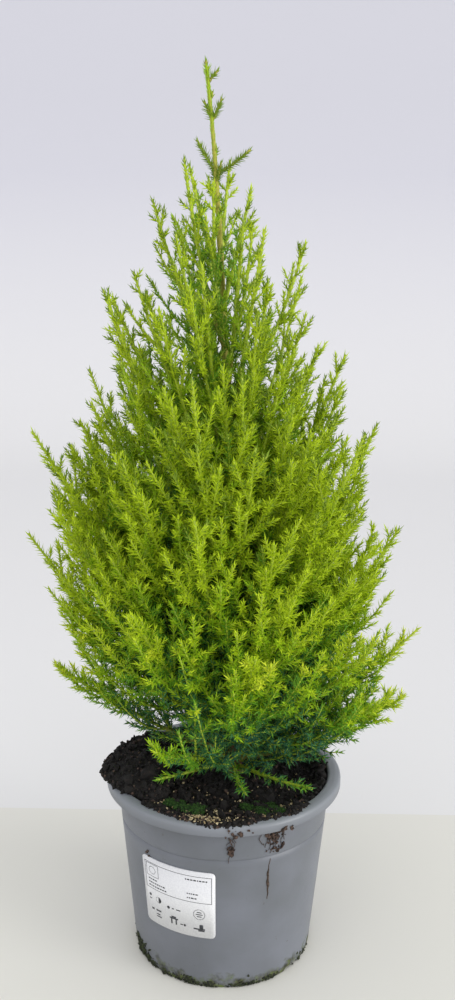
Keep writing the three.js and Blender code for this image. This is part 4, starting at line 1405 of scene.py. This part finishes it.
def peat_surface(rng):
    """The peat inside the pot, with a rough top and plain sides."""
    azimuths = np.arange(SOIL_SEGMENTS) * 360 / SOIL_SEGMENTS
    radii = np.linspace(inside_radius(SOIL_LEVEL) - SOIL_GAP, SOIL_MIDDLE, SOIL_RINGS)
    top = (outward(azimuths)[None] * radii[:, None, None]).reshape(-1, 3)
    calm = smooth_step(np.hypot(top[:, 0] - FOOT_X, top[:, 1]), *SOIL_CALM)
    clods = rough(top, PEAT_ROUGH, rng) * calm
    top[:, 2] = ground(top) + clods - SOIL_SETTLED
    under = outward(azimuths) * (inside_radius(FLOOR_THICKNESS) - SOIL_GAP)
    under[:, 2] = FLOOR_THICKNESS + SOIL_GAP
    faces = ring_faces(SOIL_RINGS + 1, SOIL_SEGMENTS)
    last = SOIL_RINGS * SOIL_SEGMENTS
    caps = [(last, last + k, last + k + 1) for k in range(1, SOIL_SEGMENTS - 1)]
    caps += [(0, k + 1, k) for k in range(1, SOIL_SEGMENTS - 1)]
    return np.concatenate([under, top]), np.concatenate([faces, caps])


def heap(rng):
    """The heap that lies over the left of the rim and hangs a little past it."""
    corners, faces = ball(5)
    along, out, up = corners.T
    azimuth = (HEAP_FROM + HEAP_TO) / 2 + (HEAP_TO - HEAP_FROM) / 2 * along
    overhang = HEAP_OVERHANG * np.exp(-((azimuth - OVERHANG_AT) / OVERHANG_WIDTH) ** 2)
    radius = HEAP_RIDGE + np.where(out > 0, out * (HEAP_OUTWARD + overhang), out * HEAP_INWARD)
    sole = np.where(radius > RIM_FROM, SOLE_ON_RIM, SOLE_DEEP)
    points = at(azimuth, radius, HEAP_SOLE + np.where(up > 0, up * HEAP_TALL, up * sole))
    away = unit(np.stack([points[:, 0] * 0.02, points[:, 1] * 0.02, np.maximum(up, -0.1)], axis=-1))
    free = smooth_step(up, *HEAP_FREE)
    return points + away * (rough(points, HEAP_ROUGH, rng) * free)[:, None], faces, up


def crumbs_on(spots, stray, size, rng):
    """Crumbs of peat that stray from their spots."""
    spots = spots + rng.normal(0, stray, spots.shape)
    return lumps(spots, rng.gamma(2.0, size, len(spots)) + 0.25, rng)


def make_soil():
    """The peat: a rough surface inside the rim, the heap over it, and crumbs all over both."""
    rng = np.random.default_rng(SEED + 3)
    heap_points, heap_faces, up = heap(rng)
    skin = heap_points[up > HEAP_SKIN]
    parts = [peat_surface(rng), (heap_points, heap_faces)]
    parts.append(crumbs_on(scattered(SOIL_CRUMBS, rng), 0.3, 0.36, rng))
    parts.append(crumbs_on(skin[rng.integers(len(skin), size=HEAP_CRUMBS)], 0.4, 0.32, rng))
    parts.append(brim_crumbs(rng, BRIM_CRUMBS))
    add_piece("peat", *joined(parts), moist_peat(), "peat", replaces=["soil"], smooth=False)
    make_loose_bits(rng, skin)
    make_moss(rng)
    make_foot_dirt(rng)


# Crumbs along the front of the brim: azimuths, how far out they reach, and where they reach further,
# by azimuth, width and distance
BRIM_FROM = -44
BRIM_TO = 48
BRIM_EDGE = 52.8
BRIM_SPILLS = ((-1, 19, 3.3), (36, 9, 2.0))
BRIM_LARGEST = 1.2


def brim_crumbs(rng, count):
    """Crumbs that hide the top of the rim along the front."""
    azimuth = rng.uniform(BRIM_FROM, BRIM_TO, count)
    edge = np.full(count, BRIM_EDGE)
    for middle, width, further in BRIM_SPILLS:
        edge += further * np.exp(-((azimuth - middle) / width) ** 2)
    radius = edge - rng.gamma(1.6, 1.5, count)
    height = RIM_HEIGHT - 0.3 + rng.uniform(-0.3, 0.6, count) - 0.5 * (radius > 55)
    sizes = np.minimum(rng.gamma(2.0, 0.25, count) + 0.2, BRIM_LARGEST)
    return lumps(at(azimuth, radius, height), sizes, rng)


def fibre_paths(azimuths, tops, lengths, rng):
    """Thin roots that hang down the outside of the pot."""
    shares = np.linspace(0, 1, 7)
    sway = rng.normal(0, 1.6, (len(azimuths), 1)) * shares + 0.8 * np.sin(shares * 7 + azimuths[:, None])
    z = tops[:, None] - lengths[:, None] * shares
    return at(azimuths[:, None] + sway, pot_radius(z) + 0.35, z)


# Clusters that hang below the rim: azimuth, spread, heights, count and size
CLUSTERS = (
    (4.6, 0.8, 72.2, 75.6, 12, 0.85), (30, 2.6, 80, 85, 40, 0.6), (26.5, 1.8, 74.5, 81, 36, 0.62),
    (29.5, 1.6, 69.5, 73.5, 18, 0.6), (8, 2.5, 82.5, 87, 26, 0.6), (-41, 2, 60, 66, 3, 0.4),
)
CLUSTER_SCALE = 1.7

# Thin roots that hang from the rim: azimuth, spread and count, then their tops and lengths
FIBRES = ((4.5, 1, 6), (28, 3, 22))
FIBRE_TOPS = (79, 85)
FIBRE_LENGTHS = (3, 12)
FIBRE_RADIUS = 0.14
FIBRE_SIDES = 4

# Pale grit: how many on the rim at the front, elsewhere along the brim, and over the soil
RIM_GRIT = 150
BRIM_GRIT = 130
SOIL_GRIT = 160
RIM_GRIT_FROM = 49.5


def make_loose_bits(rng, skin):
    """Bark bits and fibres: over the soil, on the rim, and hanging from it at the front."""
    bits = scattered(SOIL_BITS, rng, 12, RIM_FROM) + (0, 0, 0.4)
    on_heap = skin[rng.integers(len(skin), size=HEAP_BITS)] * (1.006, 1.006, 1.004)
    bits = np.concatenate([bits, on_heap])
    parts = [lumps(bits, rng.uniform(0.3, 0.9, len(bits)), rng), brim_crumbs(rng, BRIM_BITS)]
    for azimuth, spread, low, high, count, size in CLUSTERS:
        z = rng.uniform(low, high, count)
        off = np.where(z > RIM_HEIGHT - RIM_DROP, RIM_RADIUS + 0.2, pot_radius(z) + 0.3)
        spots = at(rng.normal(azimuth, spread, count), off, z)
        parts.append(lumps(spots, rng.uniform(0.3, 1.1, count) ** 1.5 * size * CLUSTER_SCALE, rng))
    azimuths = np.concatenate([rng.normal(*row) for row in FIBRES])
    tops = rng.uniform(*FIBRE_TOPS, len(azimuths))
    fibres = fibre_paths(azimuths, tops, rng.uniform(*FIBRE_LENGTHS, len(azimuths)), rng)
    parts.append(tubes(fibres, np.full(fibres.shape[:2], FIBRE_RADIUS), FIBRE_SIDES))
    brown = loose_matter("bark_crumbs", "#211812", "#58453B")
    add_piece("bark_crumbs", *joined(parts), brown, "peat", smooth=False)
    make_grit(rng)
    make_mud_streak(rng)


def make_grit(rng):
    """Pale grit: thick on the rim at the front, thin elsewhere."""
    around = np.concatenate([rng.normal(-8, 5.5, RIM_GRIT), rng.uniform(-40, 46, BRIM_GRIT)])
    on_rim = rng.uniform(RIM_GRIT_FROM, 54.8, len(around))
    radius = np.where(np.arange(len(around)) < RIM_GRIT, on_rim, rng.uniform(40, 53, len(around)))
    spots = at(around, radius, 0)
    height = np.where(radius > RIM_GRIT_FROM, RIM_HEIGHT + 0.25, ground(spots) + 0.7)
    spots[:, 2] = height + rng.uniform(0, 0.4, len(spots))
    spots = np.concatenate([spots, scattered(SOIL_GRIT, rng, 20, 49) + (0, 0, 0.8)])
    grit = loose_matter("pale_grit", "#97835E", "#CDBE98", 0.75)
    add_piece("pale_grit", *lumps(spots, rng.uniform(0.25, 0.6, len(spots)), rng), grit, "peat", smooth=False)


# Dried mud on the wall: where it starts, how long it is and how thick
MUD_TOP = 67
MUD_LENGTH = 21
MUD_AZIMUTH = 25.9
MUD_THIN = 0.2
MUD_SWELL = 0.6
MUD_RINGS = 40
MUD_SIDES = 6


def make_mud_streak(rng):
    """The thin line of dried mud that ran down the wall at the right."""
    shares = np.linspace(0, 1, MUD_RINGS)
    z = MUD_TOP - MUD_LENGTH * shares
    azimuth = MUD_AZIMUTH - 0.5 * np.sin(shares * 5) - 0.7 * shares + 0.12 * np.sin(shares * 31)
    path = at(azimuth, pot_radius(z) + 0.02, z)[None]
    swell = np.sin(np.pi * np.clip((shares - 0.1) / 0.9, 0, 1)) ** 2
    radii = MUD_THIN + MUD_SWELL * swell * (0.75 + 0.25 * np.sin(shares * 23))
    mud = loose_matter("dried_mud", "#2B2119", "#54453A")
    add_piece("mud_streak", *tubes(path, radii[None], MUD_SIDES), mud, "peat", smooth=False)


# Strips of moss: the azimuths they run between, radius, and how many cushions
MOSS_STRIPS = ((-35, -11, 42.6, 84), (21, 34, 44.4, 60), (14, 38, 38, 24))
MOSS_STRIP_WIDTH = 2.6
MOSS_BLADES = 50
MOSS_CUSHION = 1.1
MOSS_TALL = 1.3
MOSS_DOMED = 0.3
MOSS_BLADE = (0.6, 1.4)


def make_moss(rng):
    """Moss: short dark green shoots, packed in low cushions in strips along the front of the soil."""
    rows = []
    for low, high, radius, count in MOSS_STRIPS:
        around = rng.uniform(low, high, count)
        rows.append(at(around, rng.normal(radius, MOSS_STRIP_WIDTH, count), 0))
    centres = np.repeat(np.concatenate(rows), MOSS_BLADES, axis=0)
    offsets = rng.normal(0, MOSS_CUSHION, (len(centres), 2))
    centres[:, :2] += offsets
    centres[:, 2] = ground(centres) + MOSS_TALL - MOSS_DOMED * (offsets ** 2).sum(1)
    directions = unit(rng.normal(size=centres.shape) * (0.6, 0.6, 0.3) + (0, 0, 1))
    sideways = unit(np.cross(directions, rng.normal(size=centres.shape)))
    moss = loose_matter("moss", "#183010", "#386119")
    blades = needle_mesh(centres, directions, sideways, rng.uniform(*MOSS_BLADE, len(centres)))
    add_piece("moss", *blades, moss, "peat", smooth=False)


# Patches of caked algae at the foot: azimuth, spread, height and count
CAKED_PATCHES = (
    (-62, 8, 9, 190), (-50, 6, 4, 90), (-20, 6, 4, 150), (-8, 6, 2.5, 60), (18, 10, 2.2, 90), (33, 5, 2, 50),
    (62, 12, 5, 24), (-34, 8, 3, 50), (-105, 20, 3, 60), (150, 60, 3, 140), (16, 3, 11, 4),
)
CAKED_LOW = 0.3
CAKED_SUNK = 0.12
CAKED_OFF_FLOOR = 0.05


def make_foot_dirt(rng):
    """Peat and algae caked at the foot of the pot, thickest at the front left."""
    rows = []
    for azimuth, spread, top, count in CAKED_PATCHES:
        z = rng.uniform(0.25, 1, count) ** 2.2 * top + CAKED_LOW
        rows.append(at(rng.normal(azimuth, spread / 2, count), pot_radius(z) - CAKED_SUNK, z))
    spots = np.concatenate(rows)
    sizes = np.minimum(rng.gamma(2.2, 0.18, len(spots)) + 0.15, spots[:, 2] * 0.75)
    cake = loose_matter("caked_algae", "#13150E", "#37401F")
    vertices, faces = lumps(spots, sizes, rng)
    vertices[:, 2] = np.maximum(vertices[:, 2], CAKED_OFF_FLOOR)
    add_piece("caked_algae", vertices, faces, cake, "pot_plastic", smooth=False)


# Studio: the floor ends in a seam behind the pot, where the board of the backdrop takes up
STUDIO_SIZE = 2600.0
FLOOR_SEAM = 116.0
BACKDROP_FOLD = 900.0
BACKDROP_AT = 2300.0
FOLD_STEPS = 17
SKY_COLOUR = (0.97, 0.97, 1.0, 1.0)
SKY_STRENGTH = 0.86
LAMP_AIM = (0.0, 0.0, 180.0)

# Lamps: kind, place, width, strength and colour
LAMPS = {
    "key": ("SUN", (850, -410, 380), 520, 1.7, (1.0, 0.99, 0.97)),
    "fill": ("AREA", (-720, -480, 340), 800, 0.8, (0.98, 0.98, 1.0)),
    "top": ("AREA", (60, -560, 980), 700, 1.6, (1.0, 1.0, 1.0)),
}


def make_backdrop():
    """A pale floor and, from the seam on, a board that turns up into a far backdrop."""
    sweep = np.linspace(0, math.pi / 2, FOLD_STEPS)
    curve = [(-STUDIO_SIZE, 0.0), (FLOOR_SEAM, 0.0)]
    for turn in sweep:
        back = BACKDROP_AT - BACKDROP_FOLD * (1 - math.sin(turn))
        curve.append((back, BACKDROP_FOLD * (1 - math.cos(turn))))
    curve += [(BACKDROP_AT, STUDIO_SIZE)]
    vertices = [(x * MM, y * MM, z * MM) for y, z in curve for x in (-STUDIO_SIZE, STUDIO_SIZE)]
    faces = [(2 * i, 2 * i + 1, 2 * i + 3, 2 * i + 2) for i in range(len(curve) - 1)]
    mesh = bpy.data.meshes.new("studio_floor")
    mesh.from_pydata(vertices, [], faces)
    mesh.polygons.foreach_set("use_smooth", [True] * len(faces))
    mesh.materials.append(painted_board("painted_floor", "#E2E1D9", "#E2E1D9"))
    # The backdrop is pale at its foot and darker upwards: painted shade
    mesh.materials.append(painted_board("backdrop_with_painted_shade", "#E6E6E5", "#D0D0D8"))
    mesh.polygons.foreach_set("material_index", [int(i > 0) for i in range(len(faces))])
    floor = bpy.data.objects.new("studio_floor", mesh)
    bpy.context.scene.collection.objects.link(floor)


def make_light():
    """Soft light from all round, and three lamps: the key is a wide sun, which lights the floor evenly."""
    world = bpy.data.worlds.new("studio")
    world.use_nodes = True
    sky = world.node_tree.nodes["Background"]
    sky.inputs["Color"].default_value = SKY_COLOUR
    sky.inputs["Strength"].default_value = SKY_STRENGTH
    bpy.context.scene.world = world
    for name, (kind, spot, width, strength, colour) in LAMPS.items():
        lamp = bpy.data.lights.new(name, kind)
        if kind == "SUN":
            lamp.angle = width / math.dist(spot, LAMP_AIM)
        else:
            lamp.shape = "DISK"
            lamp.size = width * MM
        lamp.energy = strength
        lamp.color = colour
        holder = bpy.data.objects.new(name, lamp)
        holder.location = [c * MM for c in spot]
        x, y, z = np.array(LAMP_AIM) - np.array(spot)
        holder.rotation_euler = (math.atan2(math.hypot(x, y), -z), 0, math.atan2(-x, y))
        bpy.context.scene.collection.objects.link(holder)


CAMERA_PLACE = (6.94, -426.8, 302.1)
CAMERA_DOWN = 0.188
CAMERA_TURN = 0.015
CAMERA_ROLL = 0.009
CAMERA_NEAR = 0.01
CAMERA_FAR = 20
PIXELS_TALL = 1000
FOCAL_PIXELS = 940
SENSOR = 36.0


def make_camera():
    """The photo's camera: looks down a little, as worked out from the pot's rim and foot."""
    camera = bpy.data.cameras.new("camera")
    camera.sensor_fit = "VERTICAL"
    camera.sensor_height = SENSOR
    camera.lens = FOCAL_PIXELS / PIXELS_TALL * SENSOR
    camera.clip_start = CAMERA_NEAR
    camera.clip_end = CAMERA_FAR
    holder = bpy.data.objects.new("camera", camera)
    ahead = np.array([-math.sin(CAMERA_TURN), math.cos(CAMERA_TURN), 0])
    forward = ahead * math.cos(CAMERA_DOWN) - np.array([0, 0, math.sin(CAMERA_DOWN)])
    right = np.array([math.cos(CAMERA_TURN), math.sin(CAMERA_TURN), 0])
    up = np.cross(right, forward)
    matrix = np.eye(4)
    matrix[:3, 0] = right * math.cos(CAMERA_ROLL) + up * math.sin(CAMERA_ROLL)
    matrix[:3, 1] = up * math.cos(CAMERA_ROLL) - right * math.sin(CAMERA_ROLL)
    matrix[:3, 2] = -forward
    matrix[:3, 3] = np.array(CAMERA_PLACE) * MM
    holder.matrix_world = [list(row) for row in matrix.T]
    bpy.context.scene.collection.objects.link(holder)
    bpy.context.scene.camera = holder


make_camera()
make_backdrop()
make_light()
make_pot()
make_label()
make_soil()
make_bark()
make_crown()

scene = bpy.context.scene
scene.view_settings.view_transform = "Standard"
scene.cycles.use_denoising = True
